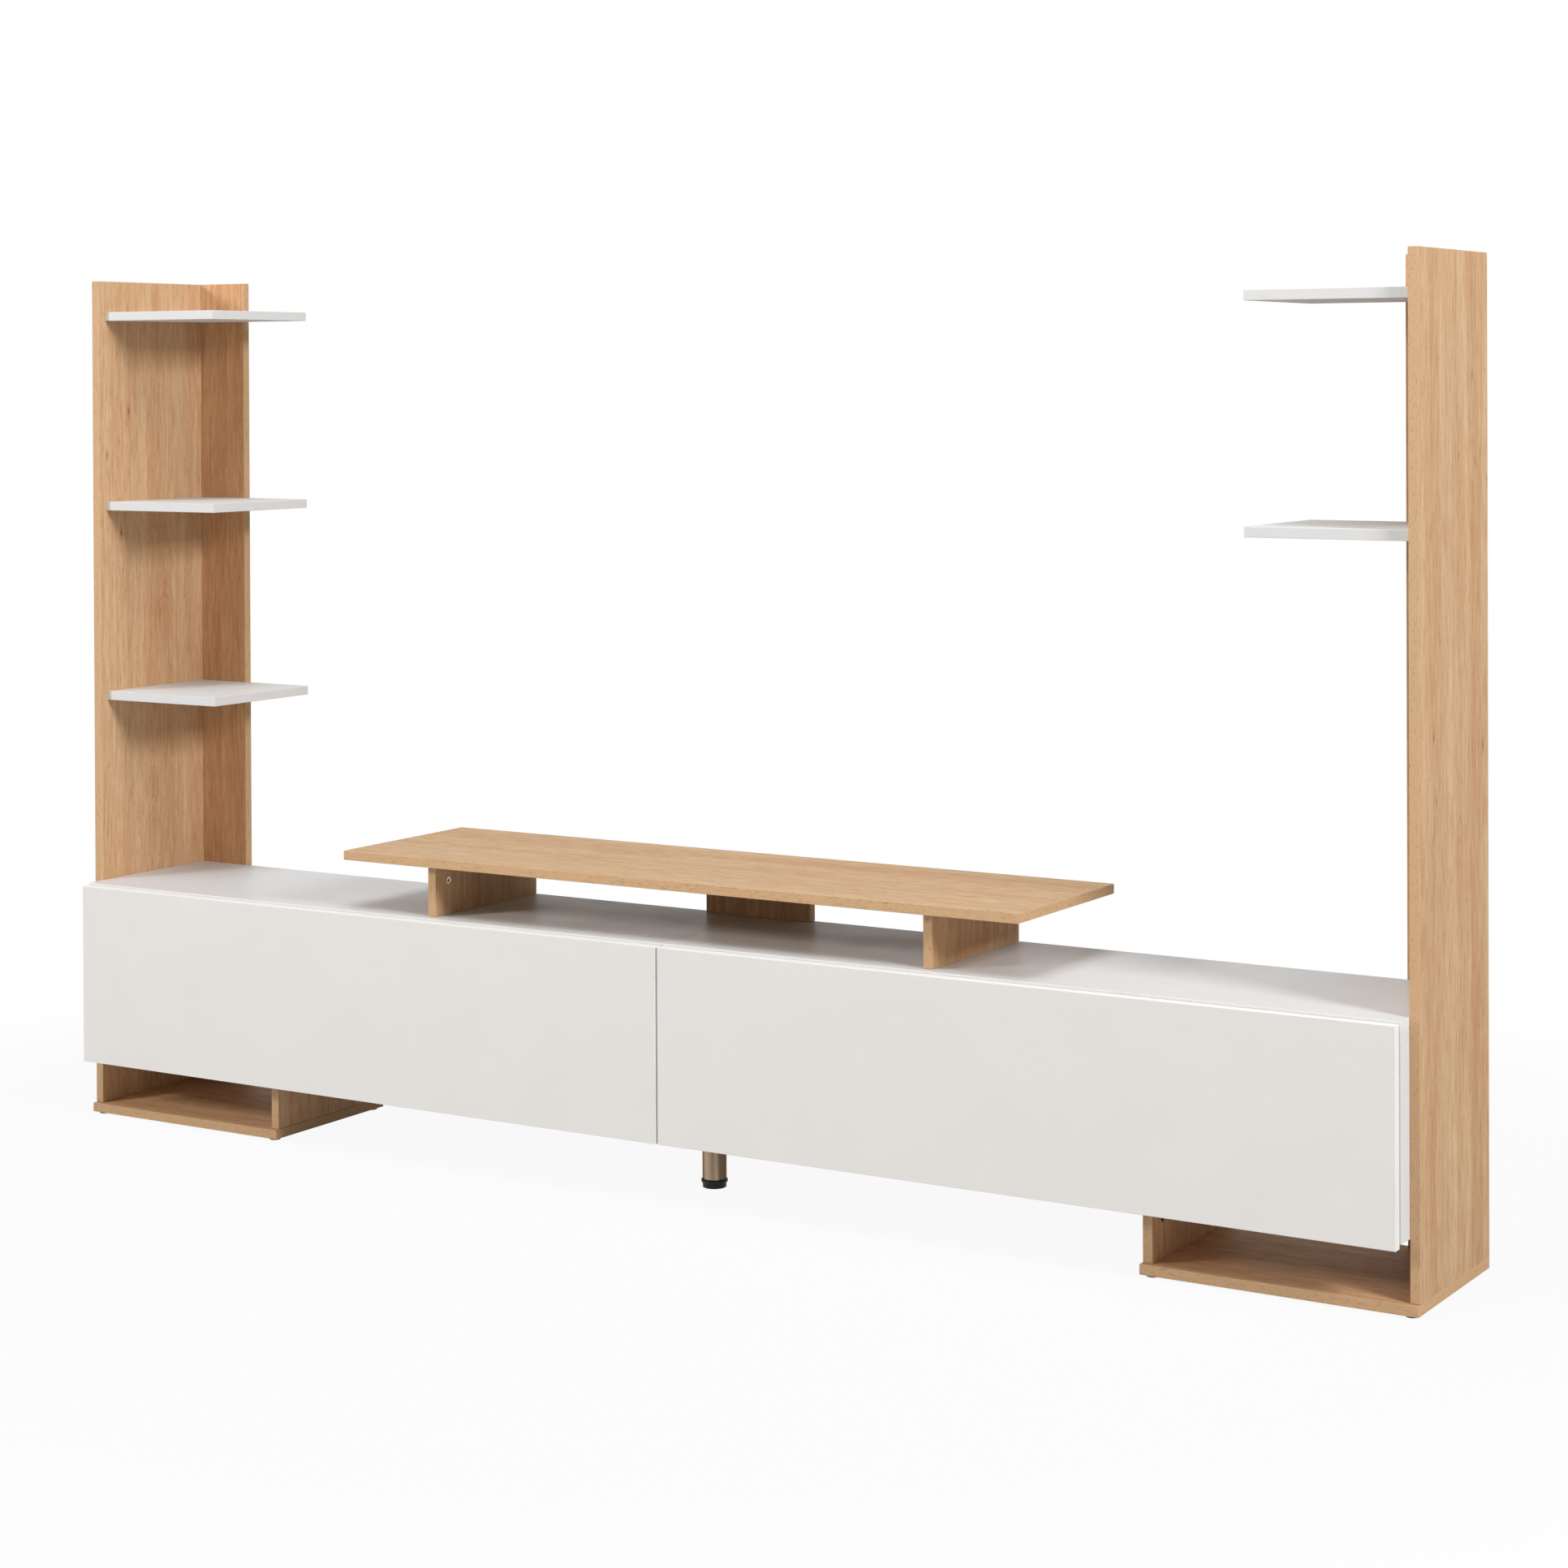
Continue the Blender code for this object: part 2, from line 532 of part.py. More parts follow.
def build_centre_leg(steel, nickel, black):
    """The leg under the seam of the two cabinets; its foot screws in and out."""
    y = (CARCASS_FRONT + CARCASS_BACK) / 2
    plate_low = CABINET_UNDERSIDE - JOINT_GAP - LEG_PLATE
    rod("centre_leg_plate", LEG_PLATE_RADIUS, plate_low, plate_low + LEG_PLATE, (0, y, 0), steel)

    ring_top = FOOT_RING_LOW + FOOT_RING_HEIGHT
    tube_low = ring_top + JOINT_GAP
    tube_top = plate_low - JOINT_GAP
    bore = LEG_RADIUS - LEG_WALL
    web_low = ring_top + FOOT_BOSS + JOINT_GAP
    web_top = web_low + LEG_WEB
    stud_bore = STUD_RADIUS + JOINT_GAP
    turned("centre_leg_tube",
           [(bore, tube_low), (LEG_RADIUS, tube_low), (LEG_RADIUS, tube_top), (bore, tube_top),
            (bore, web_top), (stud_bore, web_top), (stud_bore, web_low), (bore, web_low)],
           (0, y, 0), nickel)

    slide = pivot("centre_leg_foot_slide", (0, y, 0))
    boss = bore - JOINT_GAP
    round_bottom = arc(FOOT_RADIUS - FOOT_ROUND, FOOT_ROUND, FOOT_ROUND, -90, 0)
    ring_low = arc(FOOT_RING_RADIUS - FOOT_ROUND, FOOT_RING_LOW + FOOT_ROUND, FOOT_ROUND, -90, 0)
    ring_high = arc(FOOT_RING_RADIUS - FOOT_ROUND, ring_top - FOOT_ROUND, FOOT_ROUND, 0, 90)
    profile = [(0, 0), *round_bottom, (FOOT_RADIUS, FOOT_RING_LOW), *ring_low, *ring_high,
               (boss, ring_top), (boss, ring_top + FOOT_BOSS), (STUD_RADIUS, ring_top + FOOT_BOSS),
               (STUD_RADIUS, ring_top + STUD_LENGTH), (0, ring_top + STUD_LENGTH)]
    turned("centre_leg_foot", profile, (0, y, 0), black, slide)


def build():
    clear_scene()
    oak = finish("oak laminate", (0.60, 0.42, 0.25), 0.55)
    white = finish("white melamine", (0.80, 0.80, 0.79), 0.40)
    hardboard = finish("white hardboard", (0.72, 0.72, 0.70), 0.60)
    steel = finish("bright steel", (0.62, 0.62, 0.62), 0.30, 1.0)
    zinc = finish("zinc", (0.68, 0.68, 0.66), 0.35, 1.0)
    nickel = finish("brushed nickel", (0.56, 0.51, 0.45), 0.32, 1.0)
    black_steel = finish("black steel", (0.05, 0.05, 0.05), 0.35, 0.6)
    black = finish("black plastic", (0.025, 0.024, 0.024), 0.45)
    glide_plastic = finish("grey plastic", (0.30, 0.28, 0.26), 0.55)
    shelves = {"left": ("lower", "middle", "upper"), "right": ("middle", "upper")}
    for word, side in SIDES.items():
        build_base(word, side, oak, glide_plastic)
        build_tower(word, side, shelves[word], oak, white)
        build_carcass(word, side, white, hardboard)
        line = build_flap(word, side, white, steel)
        build_strut(word, side, line, steel, black_steel)
    build_riser(oak, zinc)
    build_centre_leg(steel, nickel, black)


build()
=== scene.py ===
"""Looks for the TV wall unit: oak towers, bases and riser round a pair of white flap cabinets."""
import math

import bmesh
import bpy
from mathutils import Matrix, Vector


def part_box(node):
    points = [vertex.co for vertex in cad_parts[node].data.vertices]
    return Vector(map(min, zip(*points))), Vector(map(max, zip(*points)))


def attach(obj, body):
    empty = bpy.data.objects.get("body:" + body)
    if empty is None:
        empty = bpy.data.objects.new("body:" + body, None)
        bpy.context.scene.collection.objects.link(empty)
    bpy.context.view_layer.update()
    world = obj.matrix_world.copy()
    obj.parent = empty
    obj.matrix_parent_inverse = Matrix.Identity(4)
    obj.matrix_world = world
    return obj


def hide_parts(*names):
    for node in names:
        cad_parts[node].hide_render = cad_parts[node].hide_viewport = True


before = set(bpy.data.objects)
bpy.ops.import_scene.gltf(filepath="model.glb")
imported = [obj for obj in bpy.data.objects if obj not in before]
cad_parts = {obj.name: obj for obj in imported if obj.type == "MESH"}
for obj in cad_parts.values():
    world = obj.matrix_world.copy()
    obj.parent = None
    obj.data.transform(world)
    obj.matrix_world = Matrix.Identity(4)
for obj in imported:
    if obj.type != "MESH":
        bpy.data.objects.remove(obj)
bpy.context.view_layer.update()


# Base boards
# Chipboard with a printed light oak foil on both faces, and edging of the same decor glued on all
# round. Each lies flat under a tower, its grain along the unit.

def add(tree, kind, feeds=None, **settings):
    """A shader node, with its settings made and its sockets fed by values or by other sockets."""
    node = tree.nodes.new(kind)
    for name, value in settings.items():
        setattr(node, name, value)
    for socket, value in (feeds or {}).items():
        if isinstance(value, bpy.types.NodeSocket):
            tree.links.new(value, node.inputs[socket])
        else:
            node.inputs[socket].default_value = value
    return node


def reckon(tree, operation, *terms):
    return add(tree, "ShaderNodeMath", dict(enumerate(terms)), operation=operation).outputs[0]


def spread(tree, value, low, high, to_low=0.0, to_high=1.0):
    """The value stretched from one range to another, eased and held at both ends."""
    feeds = {0: value, 1: low, 2: high, 3: to_low, 4: to_high}
    return add(tree, "ShaderNodeMapRange", feeds, interpolation_type="SMOOTHSTEP").outputs[0]


def tint(tree, share, under, over, mode="MIX"):
    """One colour laid over another."""
    feeds = {0: share, 6: under, 7: over}
    return add(tree, "ShaderNodeMix", feeds, data_type="RGBA", blend_type=mode).outputs[2]


def combine(tree, x, y, z):
    return add(tree, "ShaderNodeCombineXYZ", {0: x, 1: y, 2: z}).outputs[0]


def length_of(tree, spot):
    return add(tree, "ShaderNodeVectorMath", {0: spot}, operation="LENGTH").outputs["Value"]


def mottle(tree, spot, detail=2.0, roughness=0.5, scale=1.0):
    """Soft noise, with about as many features as the scale in one unit of the given spot."""
    feeds = {"Vector": spot, "Scale": scale, "Detail": detail, "Roughness": roughness}
    return add(tree, "ShaderNodeTexNoise", feeds).outputs[0]


def new_finish(name, **constants):
    """A material with constants on its shader's own sockets; gives its node tree and its shader."""
    finish = bpy.data.materials.new(name)
    finish.use_nodes = True
    shader = finish.node_tree.nodes["Principled BSDF"]
    for socket, value in constants.items():
        shader.inputs[socket.replace("_", " ")].default_value = value
    return finish, finish.node_tree, shader


def relief(tree, shader, height, depth):
    """Let a height pattern, in shares of a depth in metres, shape the surface."""
    bump = add(tree, "ShaderNodeBump", {"Height": height, "Distance": depth, "Strength": 1.0})
    tree.links.new(bump.outputs[0], shader.inputs["Normal"])


def dress(node, finish):
    """Give a board of the frame its material."""
    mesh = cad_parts[node].data
    mesh.materials.clear()
    mesh.materials.append(finish)


# The share of a rounded edge's normal at which it counts as edging, and at which as a board's end
EDGING_STARTS, END_STARTS = 0.72, 0.60


def measure_board(tree, node, grain):
    """Sockets for a point's place along, across and through a board from its middle, and for its rim.

    rim is the distance in from the nearest end or edge, edging is 1 on the narrow faces, and end is
    1 on those that the grain meets end on."""
    low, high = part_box(node)
    size = high - low
    through = min(range(3), key=lambda axis: size[axis])
    along = "XYZ".index(grain)
    across = 3 - through - along
    place = add(tree, "ShaderNodeTexCoord")
    spot = add(tree, "ShaderNodeSeparateXYZ", {0: place.outputs["Object"]}).outputs
    facing = add(tree, "ShaderNodeSeparateXYZ", {0: place.outputs["Normal"]}).outputs
    board = {}
    for word, axis in (("along", along), ("across", across), ("through", through)):
        board[word] = reckon(tree, "SUBTRACT", spot[axis], (low[axis] + high[axis]) / 2)
        board["facing " + word] = reckon(tree, "ABSOLUTE", facing[axis])
    margins = [reckon(tree, "SUBTRACT", size[axis] / 2, reckon(tree, "ABSOLUTE", board[word]))
               for word, axis in (("along", along), ("across", across))]
    board["rim"] = reckon(tree, "MINIMUM", *margins)
    board["edging"] = reckon(tree, "LESS_THAN", board["facing through"], EDGING_STARTS)
    board["end"] = reckon(tree, "GREATER_THAN", board["facing along"], END_STARTS)
    return board


OAK_LIGHT = (0.735, 0.515, 0.318, 1)
OAK_WARM = (0.660, 0.405, 0.225, 1)
OAK_DEEP = (0.560, 0.292, 0.140, 1)
OAK_PORE = (0.230, 0.105, 0.045, 1)
OAK_FIBRE = (0.800, 0.725, 0.650, 1)
OAK_THREAD = (0.920, 0.890, 0.860, 1)
OAK_EDGE = (0.620, 0.400, 0.222, 1)
OAK_EDGE_PORE = (0.300, 0.165, 0.080, 1)
OAK_EDGE_LINE = (0.730, 0.520, 0.330, 1)
PLAIN = (1, 1, 1, 1)
GRAIN_WANDER = 0.030
ARCH_RINGS = 26.0
KNOT_STRETCH = 2.4
SPECK_ACROSS, SPECK_ALONG = 0.075, 0.16
OAK_RELIEF = 0.00006


def clad_in_oak(node, grain, seed, arches=(), bands=(), knots=(), tone=(1, 1, 1), calm=1.0):
    """Printed oak: streaks along the grain, warm bands, nested arches, pores and small knots.

    All places are (across, along) from the board's middle, in metres. arches adds a half width and a
    half length, negative where the arches point down the grain. bands lists (across, half width,
    strength) of warm bands that run the board's whole length. knots adds a radius. tone tints the
    whole board, and a calm under 1 softens its streaks."""
    finish, tree, shader = new_finish("oak_" + node, Specular_IOR_Level=0.14)
    board = measure_board(tree, node, grain)
    along, across = board["along"], board["across"]

    # The grain wanders a little to either side
    slow = combine(tree, reckon(tree, "MULTIPLY", across, 5.0), seed, reckon(tree, "MULTIPLY", along, 1.6))
    sway = reckon(tree, "SUBTRACT", mottle(tree, slow, 1.0), 0.5)
    lane = reckon(tree, "ADD", across, reckon(tree, "MULTIPLY", sway, GRAIN_WANDER))

    def streaks(width, length, detail, shift, roughness=0.55):
        """Noise drawn out along the grain, its features about so wide and so long."""
        spot = combine(tree, reckon(tree, "DIVIDE", lane, width), seed + shift,
                       reckon(tree, "DIVIDE", along, length))
        return mottle(tree, spot, detail, roughness)

    def from_place(x, z, wide, tall):
        """How far a point is from a place, across and along, in half widths and half lengths."""
        side = reckon(tree, "DIVIDE", reckon(tree, "SUBTRACT", lane, x), wide)
        rise = reckon(tree, "DIVIDE", reckon(tree, "SUBTRACT", along, z), tall)
        return side, rise

    broad = spread(tree, streaks(0.046, 0.90, 1.0, 3.1), 0.42, 0.62)
    warm = spread(tree, streaks(0.015, 0.30, 2.0, 7.7), 0.38, 0.66)
    fine = streaks(0.0052, 0.060, 3.0, 11.3, 0.62)
    lines = streaks(0.0028, 0.30, 2.0, 14.9)
    pores = spread(tree, streaks(0.0022, 0.020, 1.0, 17.9), 0.62, 0.76)
    colour = tint(tree, reckon(tree, "MULTIPLY", broad, 0.50 * calm), OAK_LIGHT, OAK_WARM)
    colour = tint(tree, reckon(tree, "MULTIPLY", warm, 0.30 * calm), colour, OAK_DEEP)

    # Warm bands, each strongest in its middle
    for x, half_width, strength in bands:
        off = reckon(tree, "ABSOLUTE", reckon(tree, "SUBTRACT", lane, x))
        share = spread(tree, off, half_width * 0.2, half_width, strength, 0.0)
        share = reckon(tree, "MULTIPLY", share, spread(tree, warm, 0.0, 1.0, 0.7, 1.0))
        colour = tint(tree, share, colour, OAK_DEEP)

    # Arched figures: rings nested along a parabola, clearest near its rim, round a darker heart
    for x, z, half_width, half_length in arches:
        side, rise = from_place(x, z, half_width, half_length)
        out = reckon(tree, "ADD", reckon(tree, "MULTIPLY", side, side), rise)
        out = reckon(tree, "ADD", out, reckon(tree, "MULTIPLY", fine, 0.14))
        rings = spread(tree, reckon(tree, "SINE", reckon(tree, "MULTIPLY", out, ARCH_RINGS)), -0.3, 1.0)
        off_rim = reckon(tree, "ABSOLUTE", reckon(tree, "SUBTRACT", out, 0.62))
        rim = spread(tree, off_rim, 0.20, 0.50, 0.50, 0.0)
        rim = reckon(tree, "MULTIPLY", rim, spread(tree, rise, -1.6, 0.2))
        colour = tint(tree, reckon(tree, "MULTIPLY", rings, rim), colour, OAK_DEEP)
        heart = spread(tree, length_of(tree, combine(tree, side, rise, 0.0)), 0.10, 0.80, 0.42, 0.0)
        heart = reckon(tree, "MULTIPLY", heart, spread(tree, fine, 0.35, 0.60, 0.4, 1.0))
        colour = tint(tree, heart, colour, OAK_DEEP)

    # Knots, each a dark core in a warm halo
    for x, z, radius in knots:
        near = length_of(tree, combine(tree, *from_place(x, z, radius, radius * KNOT_STRETCH), 0.0))
        colour = tint(tree, spread(tree, near, 0.8, 2.6, 0.45, 0.0), colour, OAK_DEEP)
        colour = tint(tree, spread(tree, near, 0.2, 0.9, 0.75, 0.0), colour, OAK_PORE)

    # Fibres, threads and pores over all of it
    fibre = tint(tree, spread(tree, fine, 0.25, 0.75), OAK_FIBRE, PLAIN)
    colour = tint(tree, 1.0, colour, fibre, "MULTIPLY")
    thread = tint(tree, spread(tree, lines, 0.3, 0.7), OAK_THREAD, PLAIN)
    colour = tint(tree, 1.0, colour, thread, "MULTIPLY")
    colour = tint(tree, reckon(tree, "MULTIPLY", pores, 0.36), colour, OAK_PORE)
    colour = tint(tree, 1.0, colour, (*tone, 1), "MULTIPLY")

    # A few dark specks, each longer than it is wide
    cell = combine(tree, reckon(tree, "DIVIDE", lane, SPECK_ACROSS), seed,
                   reckon(tree, "DIVIDE", along, SPECK_ALONG))
    speck = add(tree, "ShaderNodeTexVoronoi", {"Vector": cell, "Scale": 1.0, "Randomness": 1.0})
    chance = add(tree, "ShaderNodeSeparateXYZ", {0: speck.outputs["Color"]}).outputs[0]
    dark = reckon(tree, "MULTIPLY", spread(tree, speck.outputs["Distance"], 0.012, 0.034, 0.75, 0.0),
                  reckon(tree, "GREATER_THAN", chance, 0.70))
    colour = tint(tree, dark, colour, OAK_PORE)

    # Edging: yellower and closely speckled, with a thin pale line where it shows on the board's face
    length = add(tree, "ShaderNodeMix", {0: board["end"], 2: along, 3: across}, data_type="FLOAT").outputs[0]

    def edge_streaks(width, long, shift, roughness=0.5):
        spot = combine(tree, reckon(tree, "DIVIDE", board["through"], width), seed + shift,
                       reckon(tree, "DIVIDE", length, long))
        return mottle(tree, spot, 2.0, roughness)

    speckle = spread(tree, edge_streaks(0.0016, 0.010, 23.0, 0.6), 0.52, 0.72, 0.0, 0.60)
    patches = spread(tree, edge_streaks(0.006, 0.12, 29.0), 0.40, 0.68, 0.0, 0.45)
    edge = tint(tree, patches, tint(tree, speckle, OAK_EDGE, OAK_EDGE_PORE), OAK_WARM)
    seam = spread(tree, board["rim"], 0.0009, 0.0018, 0.40, 0.0)
    colour = tint(tree, seam, colour, OAK_EDGE_LINE)
    colour = tint(tree, board["edging"], colour, edge)
    tree.links.new(colour, shader.inputs["Base Color"])

    rough = reckon(tree, "ADD", spread(tree, fine, 0.2, 0.8, 0.66, 0.52),
                   reckon(tree, "MULTIPLY", pores, 0.15))
    tree.links.new(rough, shader.inputs["Roughness"])
    relief(tree, shader, reckon(tree, "SUBTRACT", reckon(tree, "MULTIPLY", fine, 0.5), pores), OAK_RELIEF)
    dress(node, finish)


# Base boards and leg panels are tinted redder and warmer than the other oak: painted light, the warm glow of
# the shaded niches under the towers
BASE_TONE = (1.10, 1.02, 0.96)
clad_in_oak("base_panel_left", "X", seed=4.2, tone=BASE_TONE)
clad_in_oak("base_panel_right", "X", seed=37.5, tone=BASE_TONE)


# Floor glides
# Moulded grey plastic feet, each with a steel nail through its middle that is driven into the
# base board. The underside is dished and its rim rounded, so that it slides.

def close():
    """Leave edit mode, if a shape is still open in it."""
    if bpy.context.mode != "OBJECT":
        bpy.ops.object.mode_set(mode="OBJECT")


def start(adder, name, **size):
    """A primitive at its size and place, its place put into its mesh, open in edit mode."""
    close()
    bpy.ops.object.select_all(action="DESELECT")
    adder(**size)
    bpy.ops.object.transform_apply()
    piece = bpy.context.object
    piece.name = piece.data.name = name
    bpy.ops.object.mode_set(mode="EDIT")
    return piece


def drum(name, radius, low, high, at=(0, 0), sides=40):
    """An upright cylinder between two heights, open in edit mode."""
    return start(bpy.ops.mesh.primitive_cylinder_add, name, vertices=sides, radius=radius,
                 depth=high - low, location=(*at, (low + high) / 2))


def pick(kind, test):
    """Select the faces or edges in edit mode whose middle and direction pass the test."""
    bpy.ops.mesh.select_mode(type=kind)
    bpy.ops.mesh.select_all(action="DESELECT")
    mesh = bpy.context.object.data
    shape = bmesh.from_edit_mesh(mesh)
    for part in shape.faces if kind == "FACE" else shape.edges:
        ends = [vert.co for vert in part.verts]
        middle = sum(ends, Vector()) / len(ends)
        way = part.normal if kind == "FACE" else (ends[1] - ends[0]).normalized()
        if test(middle, way):
            part.select_set(True)
    bmesh.update_edit_mesh(mesh)


# A middle this close to a plane counts as on it
NEAR = 0.0001


def looks_down(at, way):
    return way.z < -0.9


def bevel(test, offset, segments=3):
    pick("EDGE", test)
    bpy.ops.mesh.bevel(offset=offset, segments=segments, affect="EDGES")


def inset(width, rise=0.0):
    """Draw the picked faces in by a width, and lift or sink what is left of them."""
    bpy.ops.mesh.inset(thickness=width, depth=rise)


def extrude(z=0.0):
    bpy.ops.mesh.extrude_region_move(TRANSFORM_OT_translate={"value": (0, 0, z)})


def done(piece, finish=None, smooth=30):
    """Merge hair-fine faces, close edit mode, smooth the rounded faces and give the piece its material."""
    if bpy.context.mode == "OBJECT":
        bpy.ops.object.mode_set(mode="EDIT")
    bpy.ops.mesh.select_all(action="SELECT")
    bpy.ops.mesh.remove_doubles(threshold=0.000003)
    bpy.ops.object.mode_set(mode="OBJECT")
    bpy.ops.object.shade_smooth_by_angle(angle=math.radians(smooth))
    if finish:
        piece.data.materials.append(finish)


def copy_of(piece, name, where, turn=Matrix.Identity(4)):
    """A copy with its own mesh, turned and moved in that mesh."""
    twin = piece.copy()
    twin.data = piece.data.copy()
    twin.name = twin.data.name = name
    twin.data.transform(Matrix.Translation(where) @ turn)
    bpy.context.scene.collection.objects.link(twin)
    return twin


def install(piece, body, slot, *nodes):
    """Tie a piece to its body, in place of the frame's own nodes. The slot is not used."""
    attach(piece, body)
    if nodes:
        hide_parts(*nodes)


def plastic(name, tone, dull, roughness):
    """Moulded plastic: a fine spark-eroded grain, and slight clouds in its colour and its sheen."""
    finish, tree, shader = new_finish(name, Specular_IOR_Level=0.26)
    place = add(tree, "ShaderNodeTexCoord").outputs["Object"]
    skin = mottle(tree, place, scale=900.0)
    cloud = mottle(tree, place, 3.0, scale=90.0)
    colour = tint(tree, spread(tree, cloud, 0.35, 0.70), (*tone, 1), (*dull, 1))
    tree.links.new(colour, shader.inputs["Base Color"])
    rough = spread(tree, cloud, 0.3, 0.7, roughness - 0.05, roughness + 0.10)
    tree.links.new(rough, shader.inputs["Roughness"])
    relief(tree, shader, skin, 0.00005)
    return finish


glide_plastic = plastic("grey_glide_plastic", (0.30, 0.28, 0.26), (0.22, 0.20, 0.18), 0.50)
GLIDE_RADIUS, GLIDE_HEAD, GLIDE_ROUND = 0.011, 0.0037, 0.0012
DISH_RIM, DISH_SLOPE, DISH_DEPTH = 0.0035, 0.0008, 0.0007
NAIL_RADIUS, NAIL_TIP, NAIL_POINT = 0.0015, 0.016, 0.0009
glide = drum("floor_glide", GLIDE_RADIUS, 0, GLIDE_HEAD)
pick("FACE", looks_down)
inset(DISH_RIM)
inset(DISH_SLOPE, -DISH_DEPTH)
bevel(lambda at, way: at.z < NEAR and at.xy.length > GLIDE_RADIUS - 0.0005, GLIDE_ROUND, 4)
pick("FACE", lambda at, way: way.z > 0.9 and at.z > GLIDE_HEAD - NEAR)
inset(GLIDE_RADIUS - NAIL_RADIUS)
extrude(NAIL_TIP - GLIDE_HEAD - NAIL_POINT)
inset(NAIL_POINT, NAIL_POINT)
done(glide, glide_plastic, smooth=40)
for word in ("left", "right"):
    for number in range(1, 5):
        node = f"glide_{word}_{number}"
        low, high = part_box(node)
        middle = (low + high) / 2
        install(copy_of(glide, f"floor_{node}", (middle.x, middle.y, 0)), "carcass", "glide_plastic", node)
bpy.data.objects.remove(glide)


# Leg panels
# Short oak uprights that stand on the base boards near their inner ends and carry the cabinets.
# Two cam locks of die-cast zinc, in bores in the outboard face of each, pull it up against them.

# The base's warmer tint here too is painted light of the shaded niches
clad_in_oak("leg_panel_left", "Z", seed=61.0, tone=BASE_TONE)
clad_in_oak("leg_panel_right", "Z", seed=83.3, tone=BASE_TONE)


def block(name, x, y, z):
    """A box between pairs of planes, open in edit mode."""
    spans = [sorted(span) for span in (x, y, z)]
    return start(bpy.ops.mesh.primitive_cube_add, name, size=1,
                 location=[(low + high) / 2 for low, high in spans],
                 scale=[high - low for low, high in spans])


def on_or_over(height):
    """A test for what lies at a height or above it."""
    return lambda at, way: at.z > height - NEAR


def on_or_under(height):
    """A test for what lies at a height or below it."""
    return lambda at, way: at.z < height + NEAR


def carve(piece, tool, operation="DIFFERENCE"):
    """Cut or join another shape into a piece; the other shape is used up."""
    close()
    bpy.ops.object.select_all(action="DESELECT")
    piece.select_set(True)
    bpy.context.view_layer.objects.active = piece
    change = piece.modifiers.new("carved", "BOOLEAN")
    change.operation = operation
    change.object = tool
    bpy.ops.object.modifier_apply(modifier=change.name)
    bpy.data.objects.remove(tool)


def cross_tool(length, width, depth, top):
    """A tapered cross that a screwdriver fits, pointing down from just over the given height."""
    half, over, taper = width / 2, 0.0004, 0.72
    tool = block("cross_tool", (-half, half), (-half, half), (top - depth, top + over))
    pick("FACE", lambda at, way: abs(way.z) < 0.5)
    bpy.ops.mesh.extrude_faces_move(TRANSFORM_OT_shrink_fatten={"value": (length - width) / 2})
    pick("FACE", looks_down)
    bpy.ops.transform.resize(value=(taper, taper, 1), center_override=(0, 0, top - depth))
    return tool


# Near black laid into recesses: painted shade, where the metal sits deep in shadow
RECESS_SHADE_COLOUR = (0.020, 0.016, 0.012, 1)


def metal(name, tone, dull, roughness, cloud_scale, lines=None, depth=0.00002, edge=(1, 1, 1, 1)):
    """Plated or bare metal: cloudy lustre and fine marks, both drawn out along lines where it is given.

    It is painted near black, as shade, in the recesses that the mesh's own attribute marks."""
    finish, tree, shader = new_finish(name, Metallic=1.0, Specular_Tint=edge)
    place = add(tree, "ShaderNodeTexCoord").outputs["Object"]
    stretch = add(tree, "ShaderNodeMapping", {"Vector": place, "Scale": lines or (1, 1, 1)}).outputs[0]
    cloud = mottle(tree, stretch, 1.0 if lines else 4.0, scale=cloud_scale)
    marks = mottle(tree, stretch, scale=900.0)
    colour = tint(tree, spread(tree, cloud, 0.35, 0.70), (*tone, 1), (*dull, 1))
    grey = spread(tree, marks, 0.3, 0.7, 0.88, 1.08)
    colour = tint(tree, 1.0, colour, combine(tree, grey, grey, grey), "MULTIPLY")
    recess_shade = add(tree, "ShaderNodeAttribute", attribute_name="recess_shade").outputs["Fac"]
    colour = tint(tree, recess_shade, colour, RECESS_SHADE_COLOUR)
    tree.links.new(colour, shader.inputs["Base Color"])
    rough = reckon(tree, "ADD", spread(tree, cloud, 0.3, 0.7, roughness - 0.06, roughness + 0.08),
                   spread(tree, marks, 0.4, 0.8, 0.0, 0.06))
    tree.links.new(rough, shader.inputs["Roughness"])
    relief(tree, shader, marks, depth)
    return finish


zinc = metal("die_cast_zinc", (0.88, 0.86, 0.82), (0.72, 0.70, 0.66), 0.34, 300.0)
# A near-black copy of the zinc with dull edges: painted shade, for the cams that sit in shadow low in the
# base
zinc_in_painted_shade = metal("zinc_in_painted_shade", (0.14, 0.12, 0.10), (0.07, 0.06, 0.05), 0.40, 300.0, edge=(0.3, 0.3, 0.3, 1))
CAM_RADIUS, CAM_THICKNESS, CAM_SUNK, CAM_TURN = 0.0072, 0.0118, 0.0003, 0.35
CAM_RIM, CAM_STEP, CAM_FACE = 0.0009, 0.0004, -0.0006
cam = drum("cam_lock", CAM_RADIUS, -CAM_THICKNESS, 0, sides=56)
bevel(on_or_over(0), 0.0005)
pick("FACE", lambda at, way: way.z > 0.9 and at.z > -NEAR and at.xy.length < 0.001)
inset(CAM_RIM)
inset(CAM_STEP, CAM_FACE)
bevel(on_or_under(-CAM_THICKNESS), 0.0004, 2)
carve(cam, cross_tool(length=0.0090, width=0.0027, depth=0.0046, top=CAM_FACE))
# Painted shade fills the cross: its corners are below the face, near the middle
recess_shade = cam.data.attributes.new("recess_shade", "FLOAT", "POINT")
for amount, corner in zip(recess_shade.data, cam.data.vertices):
    amount.value = float(corner.co.z < CAM_FACE - 0.0004 and corner.co.xy.length < 0.005)
done(cam)


def fit_cam(name, finish, face_x, outward, y, z, *nodes):
    """Set a cam lock into its bore; outward is the way the board's face points along X."""
    turn = Matrix.Rotation(outward * math.pi / 2, 4, "Y") @ Matrix.Rotation(CAM_TURN, 4, "Z")
    piece = copy_of(cam, name, (face_x - outward * CAM_SUNK, y, z), turn)
    piece.data.materials.clear()
    piece.data.materials.append(finish)
    install(piece, "carcass", "zinc", *nodes)


